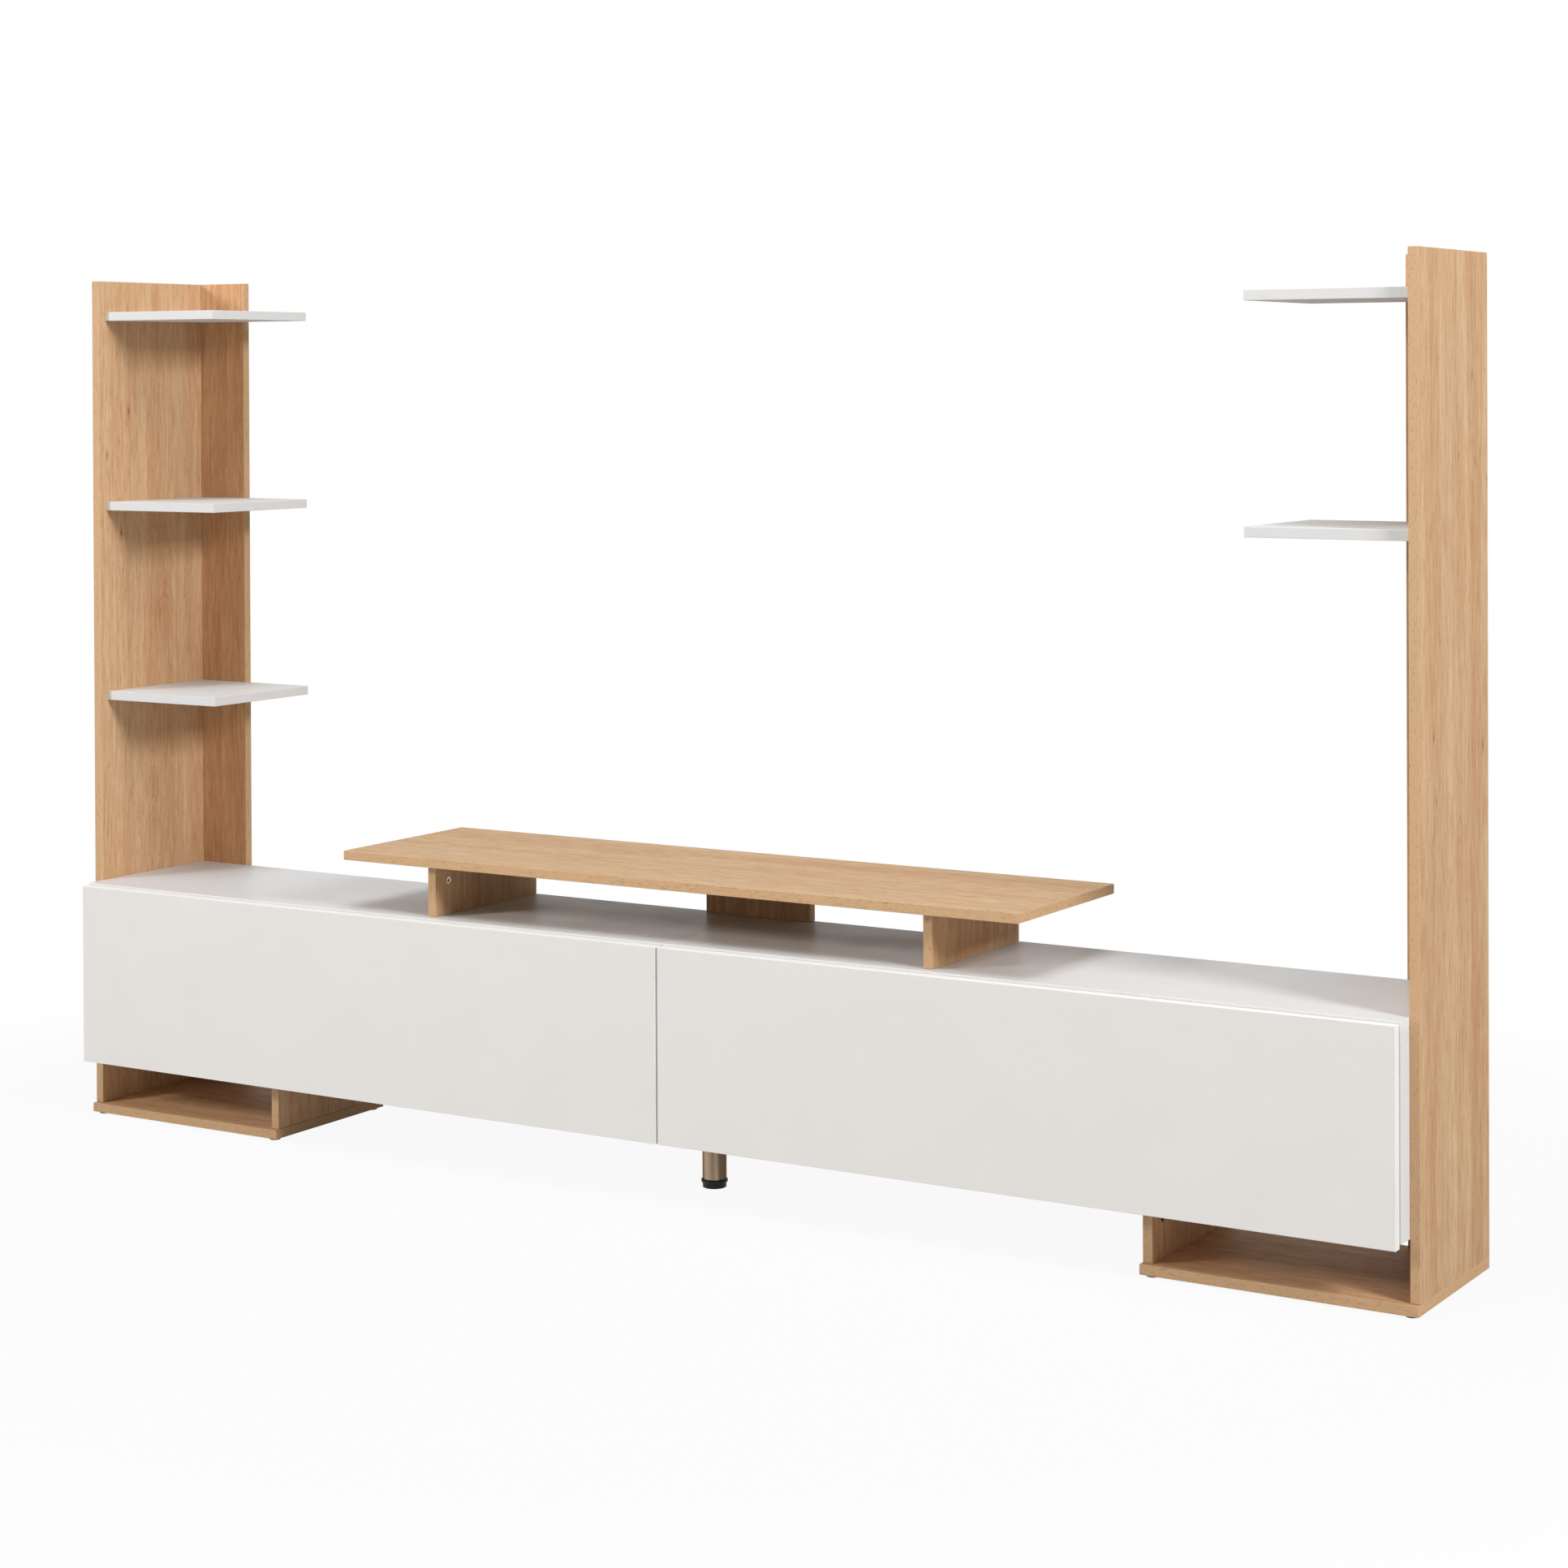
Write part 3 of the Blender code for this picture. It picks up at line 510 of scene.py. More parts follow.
LEG_CAM_INSET, LEG_CAM_DROP = 0.042, 0.034
for word, side in (("left", -1), ("right", 1)):
    low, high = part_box(f"leg_panel_{word}")
    face_x = high.x if side > 0 else low.x
    for number, y in enumerate((low.y + LEG_CAM_INSET, high.y - LEG_CAM_INSET), 1):
        # These cams take the painted-shade copy of the zinc
        fit_cam(f"leg_cam_{word}_{number}", zinc_in_painted_shade, face_x, side, y, high.z - LEG_CAM_DROP)


# Towers
# A tall side panel and a narrow back panel, both oak with upright grain, screwed together at the
# back corner. The side panels' faces carry a few arched figures of the printed decor.

LEFT_ARCHES = [(0.033, 0.140, 0.040, 0.11), (-0.010, -0.310, 0.026, 0.11), (-0.012, -0.205, 0.016, 0.05)]
LEFT_KNOTS = [(-0.077, 0.582, 0.0045), (-0.140, 0.491, 0.0035), (-0.101, 0.328, 0.0040)]
LEFT_BANDS = [(0.01, 0.045, 0.16), (-0.100, 0.030, 0.16)]
LEFT_TONE = (1.04, 1.04, 1.04)
RIGHT_ARCHES = [(0.094, 0.360, 0.020, 0.11), (0.025, -0.190, 0.034, 0.14)]
RIGHT_KNOTS = [(0.087, 0.645, 0.0035), (0.021, 0.512, 0.0025), (0.099, 0.500, 0.0030),
               (-0.103, 0.055, 0.0040), (-0.091, -0.048, 0.0035), (0.142, 0.021, 0.0045)]
RIGHT_BANDS = [(-0.103, 0.044, 0.40), (0.103, 0.052, 0.46)]
RIGHT_TONE = (0.96, 0.99, 1.0)
# The back panels are tinted a deeper orange: painted shade, for panels that stand in the side panels' shadow
BACK_TONE = (1.0, 0.90, 0.82)
clad_in_oak("tower_side_left", "Z", 12.7, LEFT_ARCHES, LEFT_BANDS, LEFT_KNOTS, LEFT_TONE)
clad_in_oak("tower_side_right", "Z", 45.9, RIGHT_ARCHES, RIGHT_BANDS, RIGHT_KNOTS, RIGHT_TONE)
clad_in_oak("tower_back_left", "Z", seed=71.4, tone=BACK_TONE)
clad_in_oak("tower_back_right", "Z", seed=95.8, tone=BACK_TONE)


# Shelves
# White melamine boards with white edging all round, screwed through the tower's side and back
# panels. The edging is a touch brighter than the faces; a thin pale line inside each edge is painted
# highlight.

SCUFF = (0.52, 0.50, 0.47, 1)
CLOUDS_PER_METRE, PEEL_PER_METRE, PEEL_RELIEF = 6.0, 700.0, 0.00003


def clad_in_white(node, tone, edge_tone, grain="X", sheen=0.54, gloss=0.03, stock="white"):
    """Melamine: faint cloudiness, an orange-peel skin, edging, and a thin pale line of painted highlight
    inside each edge.
    """
    finish, tree, shader = new_finish(f"{stock}_{node}", Specular_IOR_Level=gloss)
    board = measure_board(tree, node, grain)
    spot = combine(tree, board["along"], board["across"], board["through"])
    cloud = mottle(tree, spot, 3.0, scale=CLOUDS_PER_METRE)
    peel = mottle(tree, spot, 1.0, scale=PEEL_PER_METRE)
    dull = tuple(channel * 0.985 for channel in tone[:3]) + (1,)
    pale = tuple(min(channel * 1.12, 0.9) for channel in tone[:3]) + (1,)
    colour = tint(tree, spread(tree, cloud, 0.35, 0.7), tone, dull)
    # Painted highlight: a thin pale line just inside each edge of the face
    colour = tint(tree, spread(tree, board["rim"], 0.0008, 0.0016, 0.35, 0.0), colour, pale)
    colour = tint(tree, board["edging"], colour, edge_tone)
    scuff = reckon(tree, "MULTIPLY", spread(tree, board["rim"], 0.0, 0.006, 0.12, 0.0),
                   spread(tree, cloud, 0.52, 0.66))
    colour = tint(tree, scuff, colour, SCUFF)
    tree.links.new(colour, shader.inputs["Base Color"])
    tree.links.new(spread(tree, cloud, 0.3, 0.7, sheen, sheen + 0.08), shader.inputs["Roughness"])
    relief(tree, shader, peel, PEEL_RELIEF)
    dress(node, finish)


WHITE = (0.705, 0.702, 0.696, 1)
WHITE_EDGE = (0.722, 0.718, 0.710, 1)
for shelf in ("left_lower", "left_middle", "left_upper", "right_middle", "right_upper"):
    clad_in_white("shelf_" + shelf, WHITE, WHITE_EDGE)


# Cabinets
# Two white melamine boxes side by side. The top lies over the sides, and the bottom sits between
# them; a groove near the rear edges holds the thin back. The tops are glossier, and mirror the oak.

# The tops' white is darker than the boxes': painted shade, for the shade under the riser. The boxes' white
# is brighter than the shelves': painted light. The edging is brighter still: partly a whiter edging, partly
# a painted highlight of the lit edges.
TOP_WHITE = (0.690, 0.690, 0.690, 1)
BOX_WHITE = (0.735, 0.732, 0.728, 1)
BOX_EDGE = (0.800, 0.796, 0.788, 1)
HARDBOARD_WHITE = (0.70, 0.69, 0.67, 1)
HARDBOARD_EDGE = (0.30, 0.19, 0.11, 1)
for word in ("left", "right"):
    clad_in_white(f"cabinet_top_{word}", TOP_WHITE, BOX_EDGE, sheen=0.34, gloss=0.042)
    clad_in_white(f"cabinet_bottom_{word}", BOX_WHITE, BOX_EDGE)
    clad_in_white(f"cabinet_side_outer_{word}", BOX_WHITE, BOX_EDGE, grain="Z")
    clad_in_white(f"cabinet_side_inner_{word}", BOX_WHITE, BOX_EDGE, grain="Z")
    clad_in_white(f"cabinet_back_{word}", HARDBOARD_WHITE, HARDBOARD_EDGE, sheen=0.60, stock="hardboard")


# Hinges
# Concealed hinges of pressed, nickel-plated steel, two for each flap: an arm on a winged plate is
# screwed under the cabinet's top, and its nose reaches into a cup pressed into the flap's back.

steel = metal("nickel_plated_steel", (0.66, 0.65, 0.62), (0.50, 0.49, 0.47), 0.26, 130.0)
SCREW_RADIUS, SCREW_ROOT, SCREW_TOP = 0.0036, -0.0010, 0.0007
screw = drum("screw_head", SCREW_RADIUS, SCREW_ROOT, SCREW_TOP, sides=28)
bevel(on_or_over(SCREW_TOP), 0.0005)
carve(screw, cross_tool(length=0.0044, width=0.0010, depth=0.0009, top=SCREW_TOP))


def add_screw(piece, x, y, z, size=1.0):
    """Sink a cross-head screw into a face that looks up."""
    carve(piece, copy_of(screw, "sunk_screw", (x, y, z), Matrix.Scale(size, 4)), "UNION")


def upright(at, way):
    return abs(way.z) > 0.9


# The arm hangs from the plane z = 0 with its nose towards +y, and is drawn upside down
ARM_HALF, ARM_LONG, ARM_GAP, ARM_TALL = 0.007, 0.062, 0.0012, 0.0125
CREST = 0.010
WING, WING_REAR, WING_FRONT, WING_TALL = 0.023, -0.041, -0.021, 0.0025
NOSE_HALF, NOSE_ROOT, NOSE_TIP, NOSE_UNDER = 0.005, -0.008, 0.01495, 0.0040
SLOT_RADIUS, SLOT_FLOOR = 0.0032, ARM_TALL - 0.0018
SLOT_PLACES = (-0.0185, -0.0470)
hinge_arm = block("hinge_arm", (-ARM_HALF, ARM_HALF), (-ARM_LONG, 0), (ARM_GAP, ARM_TALL))
bevel(lambda at, way: abs(way.y) > 0.9 and at.z > CREST, 0.0030, 4)
bevel(lambda at, way: at.y < NEAR - ARM_LONG and abs(way.x) > 0.9 and at.z > CREST, 0.0040)
plate = block("arm_plate", (-WING, WING), (WING_REAR, WING_FRONT), (0, WING_TALL))
bevel(upright, 0.0060, 5)
bevel(on_or_over(WING_TALL), 0.0005, 2)
carve(hinge_arm, plate, "UNION")
nose = block("arm_nose", (-NOSE_HALF, NOSE_HALF), (NOSE_ROOT, NOSE_TIP), (NOSE_UNDER, ARM_TALL + 0.0003))
bevel(lambda at, way: at.y > NOSE_TIP - NEAR and abs(way.x) > 0.9, 0.0034, 5)
bevel(lambda at, way: abs(way.y) > 0.9 and at.z > CREST, 0.0010, 2)
carve(hinge_arm, nose, "UNION")
for y in SLOT_PLACES:
    carve(hinge_arm, drum("arm_slot", SLOT_RADIUS, SLOT_FLOOR, ARM_TALL + 0.001, (0, y), 28))
for x in (-0.0165, 0.0165):
    add_screw(hinge_arm, x, (WING_REAR + WING_FRONT) / 2, WING_TALL - 0.0003)
for y in SLOT_PLACES:
    add_screw(hinge_arm, 0, y, SLOT_FLOOR, size=0.78)
done(hinge_arm, steel)

# The cup looks up: its flange lies on z = 0 and its bowl is sunk below
CUP_RADIUS, CUP_DEPTH, CUP_WALL = 0.0175, 0.0112, 0.0015
FLANGE_X, FLANGE_Y, FLANGE_UNDER, FLANGE_TOP = 0.026, 0.015, 0.0003, 0.0013
hinge_cup = block("hinge_cup", (-FLANGE_X, FLANGE_X), (-FLANGE_Y, FLANGE_Y), (FLANGE_UNDER, FLANGE_TOP))
bevel(upright, 0.0110, 8)
bevel(on_or_over(FLANGE_TOP), 0.0004, 2)
bowl = drum("cup_bowl", CUP_RADIUS, -CUP_DEPTH, FLANGE_TOP - 0.0004, sides=64)
bevel(on_or_under(-CUP_DEPTH), 0.0016, 4)
carve(hinge_cup, bowl, "UNION")
hollow = drum("cup_hollow", CUP_RADIUS - CUP_WALL, CUP_WALL - CUP_DEPTH, 0.004, sides=64)
bevel(on_or_under(CUP_WALL - CUP_DEPTH), 0.0012, 4)
carve(hinge_cup, hollow)
for x in (-0.0215, 0.0215):
    add_screw(hinge_cup, x, 0, SCREW_TOP)
done(hinge_cup, steel)

UNDER_TOP = Matrix.Rotation(math.pi, 4, "X")
ON_FLAP_BACK = Matrix.Rotation(-math.pi / 2, 4, "X")
for word in ("left", "right"):
    for number in (1, 2):
        node = f"hinge_arm_{word}_{number}"
        low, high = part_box(node)
        where = ((low.x + high.x) / 2, low.y + NOSE_TIP, high.z)
        arm = copy_of(hinge_arm, f"arm_of_hinge_{word}_{number}", where, UNDER_TOP)
        install(arm, "carcass", "steel", node)
        node = f"hinge_cup_{word}_{number}"
        low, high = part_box(node)
        where = ((low.x + high.x) / 2, high.y - FLANGE_TOP, (low.z + high.z) / 2)
        cup = copy_of(hinge_cup, f"cup_of_hinge_{word}_{number}", where, ON_FLAP_BACK)
        install(cup, f"{word}_flap", "steel", node)
bpy.data.objects.remove(hinge_arm)
bpy.data.objects.remove(hinge_cup)


# Gas struts
# A black-painted tube with a polished rod, hung between a pin on the cabinet's outer side and a
# bracket on the flap. Plate, bracket and eyes are plated steel; the screws are cross-headed.

tube_paint = metal("black_strut_paint", (0.030, 0.030, 0.032), (0.055, 0.055, 0.055), 0.30, 220.0)
bright_rod = metal("polished_rod", (0.74, 0.74, 0.73), (0.62, 0.62, 0.61), 0.14, 90.0,
                   lines=(1, 1, 0.1), depth=0.000005)
STRUT_X = 1.38815
STRUT_FOOT = Vector((0, -0.07715, 0.2685))
STRUT_HEAD = Vector((0, -0.15415, 0.4200))
STRUT_LONG = (STRUT_HEAD - STRUT_FOOT).length
STRUT_TURN = Vector((0, 0, 1)).rotation_difference(STRUT_HEAD - STRUT_FOOT).to_matrix().to_4x4()
ALONG_X = Matrix.Rotation(math.pi / 2, 4, "Y")
TUBE_RADIUS, TUBE_START, TUBE_END = 0.0075, 0.010, STRUT_LONG - 0.035
ROD_RADIUS, ROD_START, ROD_END = 0.0030, 0.034, STRUT_LONG - 0.004
EYE_WIDTH = 0.008


def across_strut(name, radius, half_width, height, sides=32, round_by=0.0):
    """A cylinder along X at a height, for an eye, its hole or its stud."""
    ring = drum(name, radius, -half_width, half_width, sides=sides)
    if round_by:
        bevel(lambda at, way: abs(at.z) > half_width - NEAR, round_by, 2)
    close()
    ring.data.transform(Matrix.Translation((0, 0, height)) @ ALONG_X)
    return ring


strut_tube = drum("strut_tube", TUBE_RADIUS, TUBE_START, TUBE_END, sides=48)
bevel(on_or_under(TUBE_START), 0.0030, 5)
bevel(on_or_over(TUBE_END), 0.0014)
neck = drum("strut_neck", radius=0.0035, low=0.004, high=TUBE_START + 0.003, sides=32)
carve(strut_tube, neck, "UNION")
tube_eye = across_strut("tube_eye", radius=0.0070, half_width=EYE_WIDTH / 2, height=0, sides=40,
                        round_by=0.0007)
carve(strut_tube, tube_eye, "UNION")
carve(strut_tube, across_strut("pin_hole", radius=0.0043, half_width=EYE_WIDTH, height=0))
carve(strut_tube, drum("rod_hole", ROD_RADIUS + 0.0003, low=0.022, high=TUBE_END + 0.004, sides=32))
done(strut_tube, tube_paint)

strut_rod = drum("strut_rod", ROD_RADIUS, ROD_START, ROD_END, sides=32)
collar = drum("rod_collar", radius=0.0042, low=STRUT_LONG - 0.0095, high=STRUT_LONG - 0.002, sides=6)
carve(strut_rod, collar, "UNION")
rod_eye = across_strut("rod_eye", radius=0.0052, half_width=EYE_WIDTH / 2, height=STRUT_LONG, sides=40,
                       round_by=0.0007)
carve(strut_rod, rod_eye, "UNION")
carve(strut_rod, across_strut("stud_hole", radius=0.0030, half_width=0.006, height=STRUT_LONG))
done(strut_rod, bright_rod)

# The anchor looks up from its plate at z = 0
ANCHOR_X, ANCHOR_Y, ANCHOR_TALL, PIN_RADIUS, PIN_END = 0.022, 0.013, 0.002, 0.0040, 0.0187
strut_anchor = block("strut_anchor", (-ANCHOR_X, ANCHOR_X), (-ANCHOR_Y, ANCHOR_Y), (0, ANCHOR_TALL))
bevel(upright, 0.0060, 5)
bevel(on_or_over(ANCHOR_TALL), 0.0005, 2)
pin = drum("anchor_pin", PIN_RADIUS, 0.0005, PIN_END, sides=36)
bevel(on_or_over(PIN_END), 0.0008)
carve(strut_anchor, pin, "UNION")
for x in (-0.0155, 0.0155):
    add_screw(strut_anchor, x, 0, ANCHOR_TALL - 0.0005)
done(strut_anchor, steel)

# The bracket lies on z = 0 with its ear at +x, and the stud stands inward from the ear
BRACKET_X, BRACKET_Y, BRACKET_GAP, BRACKET_TALL = 0.008, 0.022, 0.0003, 0.0023
BRACKET_REACH = 0.02170
EAR_INSIDE, EAR_HALF = 0.0055, 0.008
STUD_RADIUS, STUD_ROOT, STUD_END = 0.0027, 0.0075, 0.0158
strut_bracket = block("strut_bracket", (-BRACKET_X, BRACKET_X), (-BRACKET_Y, BRACKET_Y),
                      (BRACKET_GAP, BRACKET_TALL))
bevel(upright, 0.0030, 4)
ear = block("bracket_ear", (EAR_INSIDE, BRACKET_X), (-EAR_HALF, EAR_HALF),
            (0.0012, BRACKET_REACH + EAR_HALF))
bevel(lambda at, way: abs(way.x) > 0.9 and at.z > BRACKET_REACH, EAR_HALF - NEAR, 10)
carve(strut_bracket, ear, "UNION")
stud = drum("bracket_stud", STUD_RADIUS, STUD_ROOT, STUD_END, sides=28)
bevel(on_or_over(STUD_END), 0.0006, 2)
close()
stud.data.transform(Matrix.Translation((0, 0, BRACKET_REACH)) @ ALONG_X)
carve(strut_bracket, stud, "UNION")
for y in (-0.0145, 0.0145):
    add_screw(strut_bracket, -0.002, y, BRACKET_TALL - 0.0005)
done(strut_bracket, steel)

for word, side in (("left", -1), ("right", 1)):
    foot = (side * STRUT_X, STRUT_FOOT.y, STRUT_FOOT.z)
    tube = copy_of(strut_tube, f"gas_tube_{word}", foot, STRUT_TURN)
    install(tube, f"{word}_strut_tube", "black_steel", f"strut_tube_{word}")
    rod = copy_of(strut_rod, f"gas_rod_{word}", foot, STRUT_TURN)
    install(rod, f"{word}_strut_rod", "steel", f"strut_rod_{word}")
    low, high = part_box(f"strut_anchor_{word}")
    wall = high.x if side > 0 else low.x
    inward = Matrix.Rotation(-side * math.pi / 2, 4, "Y")
    anchor = copy_of(strut_anchor, f"anchor_plate_{word}", (wall, foot[1], foot[2]), inward)
    install(anchor, "carcass", "steel", f"strut_anchor_{word}")
    low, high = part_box(f"strut_bracket_{word}")
    middle = (low + high) / 2
    where = (middle.x, low.y - BRACKET_GAP, middle.z)
    turn = ON_FLAP_BACK if side > 0 else ON_FLAP_BACK @ Matrix.Rotation(math.pi, 4, "Z")
    bracket = copy_of(strut_bracket, f"flap_bracket_{word}", where, turn)
    install(bracket, f"{word}_flap", "steel", f"strut_bracket_{word}")
for piece in (strut_tube, strut_rod, strut_anchor, strut_bracket):
    bpy.data.objects.remove(piece)


# Flaps
# One white melamine board in front of each cabinet, a little warmer than the rest. It hangs on the
# hinges inside its top edge, and reaches below the cabinet as a finger grip.

# The flaps' white is also brighter than the boxes': painted light on the fronts. Their edging is brighter
# again: partly a whiter edging, partly a painted highlight of the lit top edge.
FLAP_WHITE = (0.811, 0.792, 0.768, 1)
FLAP_EDGE = (0.860, 0.855, 0.845, 1)
for word in ("left", "right"):
    clad_in_white(f"flap_{word}", FLAP_WHITE, FLAP_EDGE, sheen=0.50)


# Riser
# An oak board for the screen on two oak side supports and a narrow one at the back. Grain runs
# along the top board and up the supports, which bright zinc cam locks pull up against it.

RISER_ARCHES = [(0.060, -0.260, 0.034, 0.16), (0.020, 0.180, 0.026, -0.20)]
RISER_BANDS = [(0.120, 0.050, 0.30), (-0.030, 0.030, 0.16)]
RISER_TONE = (0.90, 0.92, 0.93)
clad_in_oak("riser_top", "X", 23.6, RISER_ARCHES, RISER_BANDS, tone=RISER_TONE, calm=0.6)
clad_in_oak("riser_side_left", "Z", seed=52.2)
clad_in_oak("riser_side_right", "Z", seed=19.3)
clad_in_oak("riser_rear", "Z", seed=88.1)

for word, side in (("left", -1), ("right", 1)):
    for number in (1, 2):
        node = f"riser_cam_{word}_{number}"
        low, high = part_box(node)
        middle = (low + high) / 2
        face_x = high.x + CAM_SUNK if side < 0 else low.x - CAM_SUNK
        fit_cam(f"riser_lock_{word}_{number}", zinc, face_x, -side, middle.y, middle.z, node)
bpy.data.objects.remove(cam)


# Centre leg
# A plate screwed up under the seam of the cabinets, a brushed nickel tube round its socket, and a
# black plastic foot with a wider grip ring, on a stud that screws in and out of the tube.

LEG_Y = 0.00085
DISC_RADIUS, DISC_TALL, DISC_HEIGHT = 0.040, 0.003, 0.1257
SOCKET_RADIUS, SOCKET_END, SCREW_CIRCLE = 0.0209, 0.011, 0.0315
leg_plate = drum("leg_plate", DISC_RADIUS, 0, DISC_TALL, sides=80)
bevel(on_or_over(DISC_TALL), 0.0010)
socket = drum("leg_socket", SOCKET_RADIUS, 0.002, SOCKET_END, sides=64)
bevel(on_or_over(SOCKET_END), 0.0008, 2)
carve(leg_plate, socket, "UNION")
for quarter in range(4):
    angle = math.radians(45 + 90 * quarter)
    add_screw(leg_plate, SCREW_CIRCLE * math.cos(angle), SCREW_CIRCLE * math.sin(angle), DISC_TALL - 0.0005)
done(leg_plate, steel)
leg_plate.data.transform(Matrix.Translation((0, LEG_Y, DISC_HEIGHT)) @ UNDER_TOP)
install(leg_plate, "carcass", "steel", "centre_leg_plate")
bpy.data.objects.remove(screw)

# The tube's dark brown tone, the light and dark bands drawn out up it, and its dark edge tint are painted
# reflections of the shaded unit and floor round it
nickel = metal("brushed_nickel", (0.40, 0.305, 0.218), (0.13, 0.092, 0.060), 0.28, 62.0,
               lines=(1, 1, 0.03), depth=0.00001, edge=(0.35, 0.28, 0.20, 1))
LEG_RADIUS, LEG_LOW, LEG_HIGH, LEG_WALL = 0.0227, 0.0163, 0.1224, 0.0014
FOOT_HOLLOW, NUT_RADIUS, NUT_DEPTH, SOCKET_HOLLOW = 0.0223, 0.0056, 0.0370, 0.0120
leg_tube = drum("leg_tube", LEG_RADIUS, LEG_LOW, LEG_HIGH, sides=96)
pick("FACE", looks_down)
inset(LEG_WALL)
extrude(FOOT_HOLLOW)
inset(LEG_RADIUS - LEG_WALL - NUT_RADIUS)
extrude(NUT_DEPTH)
pick("FACE", lambda at, way: way.z > 0.9 and at.z > LEG_HIGH - NEAR)
inset(LEG_WALL)
extrude(-SOCKET_HOLLOW)
bevel(lambda at, way: at.xy.length > LEG_RADIUS - NEAR and abs(way.z) < 0.5, 0.0004, 2)
done(leg_tube, nickel)
leg_tube.data.transform(Matrix.Translation((0, LEG_Y, 0)))
install(leg_tube, "carcass", "nickel", "centre_leg_tube")

black_plastic = plastic("black_foot_plastic", (0.010, 0.009, 0.009), (0.020, 0.019, 0.018), 0.46)
FOOT_RADIUS, RING_RADIUS, RING_LOW, RING_HIGH = 0.0224, 0.0250, 0.0096, 0.0160
COLLAR_RADIUS, COLLAR_TALL, SCREW_SHANK, SHANK_TALL = 0.0210, 0.0220, 0.0050, 0.0295
leg_foot = drum("leg_foot", FOOT_RADIUS, 0, RING_LOW, sides=96)
pick("FACE", lambda at, way: way.z > 0.9)
extrude()
grow = RING_RADIUS / FOOT_RADIUS
bpy.ops.transform.resize(value=(grow, grow, 1), center_override=(0, 0, RING_LOW))
extrude(RING_HIGH - RING_LOW)
inset(RING_RADIUS - COLLAR_RADIUS)
extrude(COLLAR_TALL)
inset(COLLAR_RADIUS - SCREW_SHANK)
extrude(SHANK_TALL)
inset(0.0006, 0.0005)
bevel(lambda at, way: at.z < NEAR and at.xy.length > 0.02, 0.0014, 4)
bevel(lambda at, way: at.xy.length > RING_RADIUS - 0.0002 and abs(way.z) < 0.5, 0.0018, 5)
pick("FACE", lambda at, way: way.z < -0.9 and at.z < NEAR and at.xy.length < 0.001)
inset(0.0040)
inset(0.0010, -0.0010)
done(leg_foot, black_plastic, smooth=35)
leg_foot.data.transform(Matrix.Translation((0, LEG_Y, 0)))
install(leg_foot, "leg_foot", "black_plastic", "centre_leg_foot")


# Room
# A white studio floor that fades into a white room. Near the unit a little of its grey shows, which
# keeps a soft shadow. To bounced light it is grey all over, so that it throws no glare up.

def looked_at(tree):
    """1 for a ray from the camera, straight or by way of metal or glass, and 0 for light."""
    ray = add(tree, "ShaderNodeLightPath").outputs
    passed_on = reckon(tree, "MAXIMUM", ray["Is Glossy Ray"], ray["Is Transmission Ray"])
    return reckon(tree, "MAXIMUM", ray["Is Camera Ray"], passed_on)


FLOOR_SIZE, FLOOR_GREY = 60, (0.56, 0.56, 0.56, 1)
FADE_START, FADE_END, FADE_FROM = 1.6, 2.6, 0.93
ROOM_WHITE, ROOM_LIGHT, AMBIENT = (1, 1, 1, 1), (1, 0.97, 0.94, 1), 0.27
bpy.ops.object.select_all(action="DESELECT")
bpy.ops.mesh.primitive_plane_add(size=FLOOR_SIZE, location=(0, 0, 0))
floor = bpy.context.object
floor.name = "studio_floor"
paper = bpy.data.materials.new("studio_paper")
paper.use_nodes = True
tree = paper.node_tree
tree.nodes.clear()
matt = add(tree, "ShaderNodeBsdfDiffuse", {"Color": FLOOR_GREY})
bright = add(tree, "ShaderNodeEmission", {"Color": ROOM_WHITE, "Strength": 1.0})
away = length_of(tree, add(tree, "ShaderNodeTexCoord").outputs["Object"])
share = reckon(tree, "MULTIPLY", looked_at(tree), spread(tree, away, FADE_START, FADE_END, FADE_FROM, 1.0))
skin = add(tree, "ShaderNodeMixShader", {0: share, 1: matt.outputs[0], 2: bright.outputs[0]})
add(tree, "ShaderNodeOutputMaterial", {"Surface": skin.outputs[0]})
floor.data.materials.append(paper)

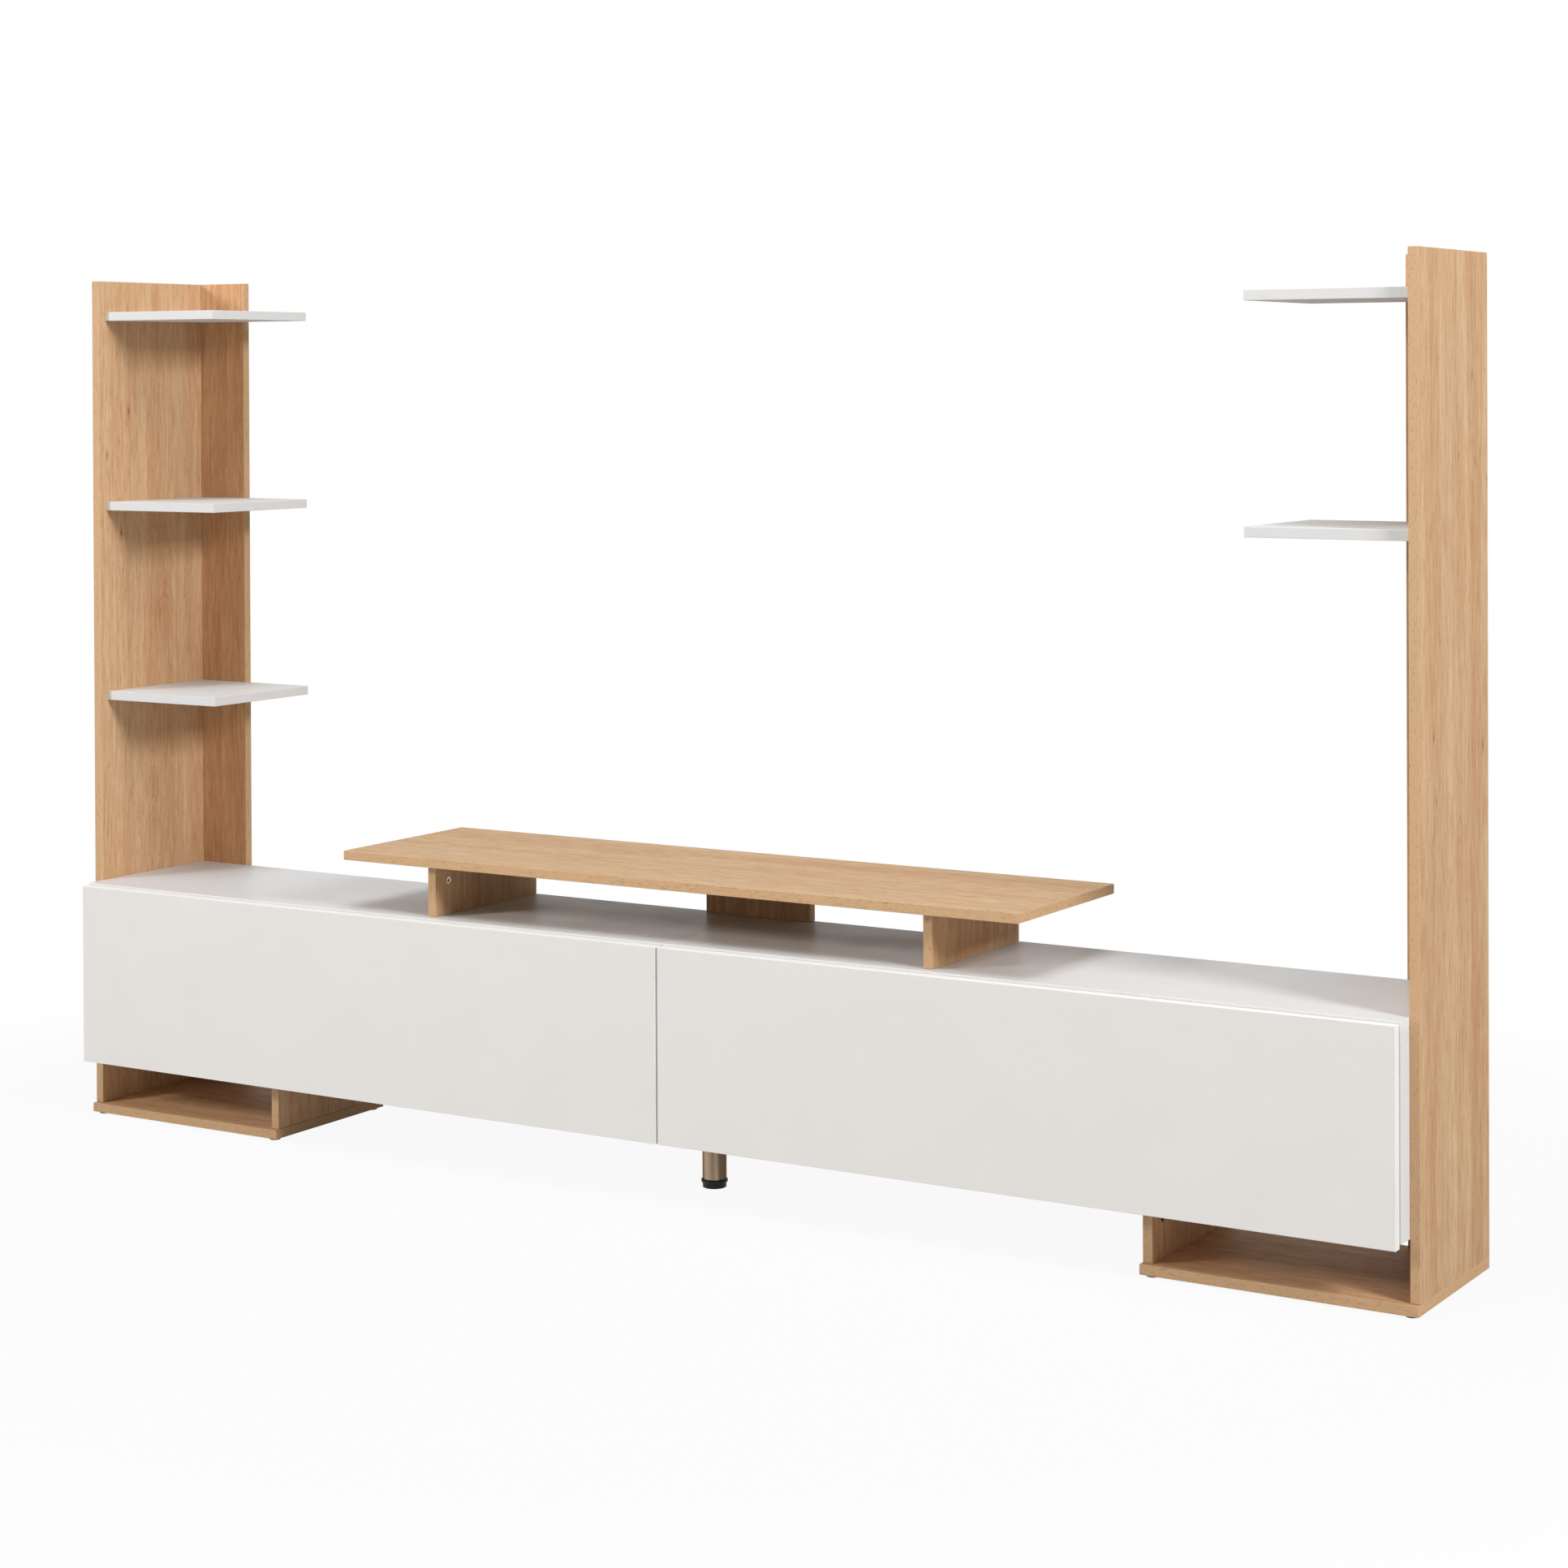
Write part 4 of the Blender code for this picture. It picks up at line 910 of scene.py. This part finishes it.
world = bpy.data.worlds.new("white_room")
bpy.context.scene.world = world
world.use_nodes = True
tree = world.node_tree
tree.nodes.clear()
soft = add(tree, "ShaderNodeBackground", {"Color": ROOM_LIGHT, "Strength": AMBIENT})
white = add(tree, "ShaderNodeBackground", {"Color": ROOM_WHITE, "Strength": 1.0})
blend = add(tree, "ShaderNodeMixShader", {0: looked_at(tree), 1: soft.outputs[0], 2: white.outputs[0]})
add(tree, "ShaderNodeOutputWorld", {"Surface": blend.outputs[0]})


# Lamps
# Three soft boxes: the key far to the right, which throws the shelves' shadows on the left tower, one
# high on the left that lights the flaps, and a broad one overhead for the tops.

def soft_box(name, place, aim, side, watts):
    lamp = bpy.data.lights.new(name, "AREA")
    lamp.shape = "SQUARE"
    lamp.size = side
    lamp.energy = watts
    holder = bpy.data.objects.new(name, lamp)
    holder.location = place
    holder.rotation_euler = (Vector(aim) - Vector(place)).to_track_quat("-Z", "Y").to_euler()
    bpy.context.scene.collection.objects.link(holder)


soft_box("key_lamp", place=(6.3, -1.9, 3.75), aim=(-0.2, 0.0, 0.8), side=1.4, watts=284)
soft_box("left_lamp", place=(-4.0, -4.9, 3.2), aim=(0.2, 0.0, 0.6), side=1.2, watts=177)
soft_box("top_lamp", place=(0.3, -1.5, 4.9), aim=(0.0, 0.0, 0.5), side=2.2, watts=100)


# Camera
# Eye height, well off to the right, with a long lens. The shift frames the unit as in the picture,
# and keeps its upright edges upright.

EYE = (3.2559, -5.0484, 1.5141)
YAW, PITCH, ROLL = 0.5500, 0.0083, -0.0042
SENSOR_WIDTH, FOCAL_LENGTH, SHIFT_UP = 36.0, 73.51, -0.2403
lens = bpy.data.cameras.new("camera")
lens.sensor_width = SENSOR_WIDTH
lens.lens = FOCAL_LENGTH
lens.shift_y = SHIFT_UP
lens.clip_end = 100.0
camera = bpy.data.objects.new("camera", lens)
turn = (Matrix.Rotation(YAW, 4, "Z") @ Matrix.Rotation(math.pi / 2 - PITCH, 4, "X")
        @ Matrix.Rotation(ROLL, 4, "Z"))
camera.matrix_world = Matrix.Translation(EYE) @ turn
bpy.context.scene.collection.objects.link(camera)
bpy.context.scene.camera = camera
bpy.context.scene.view_settings.view_transform = "Standard"
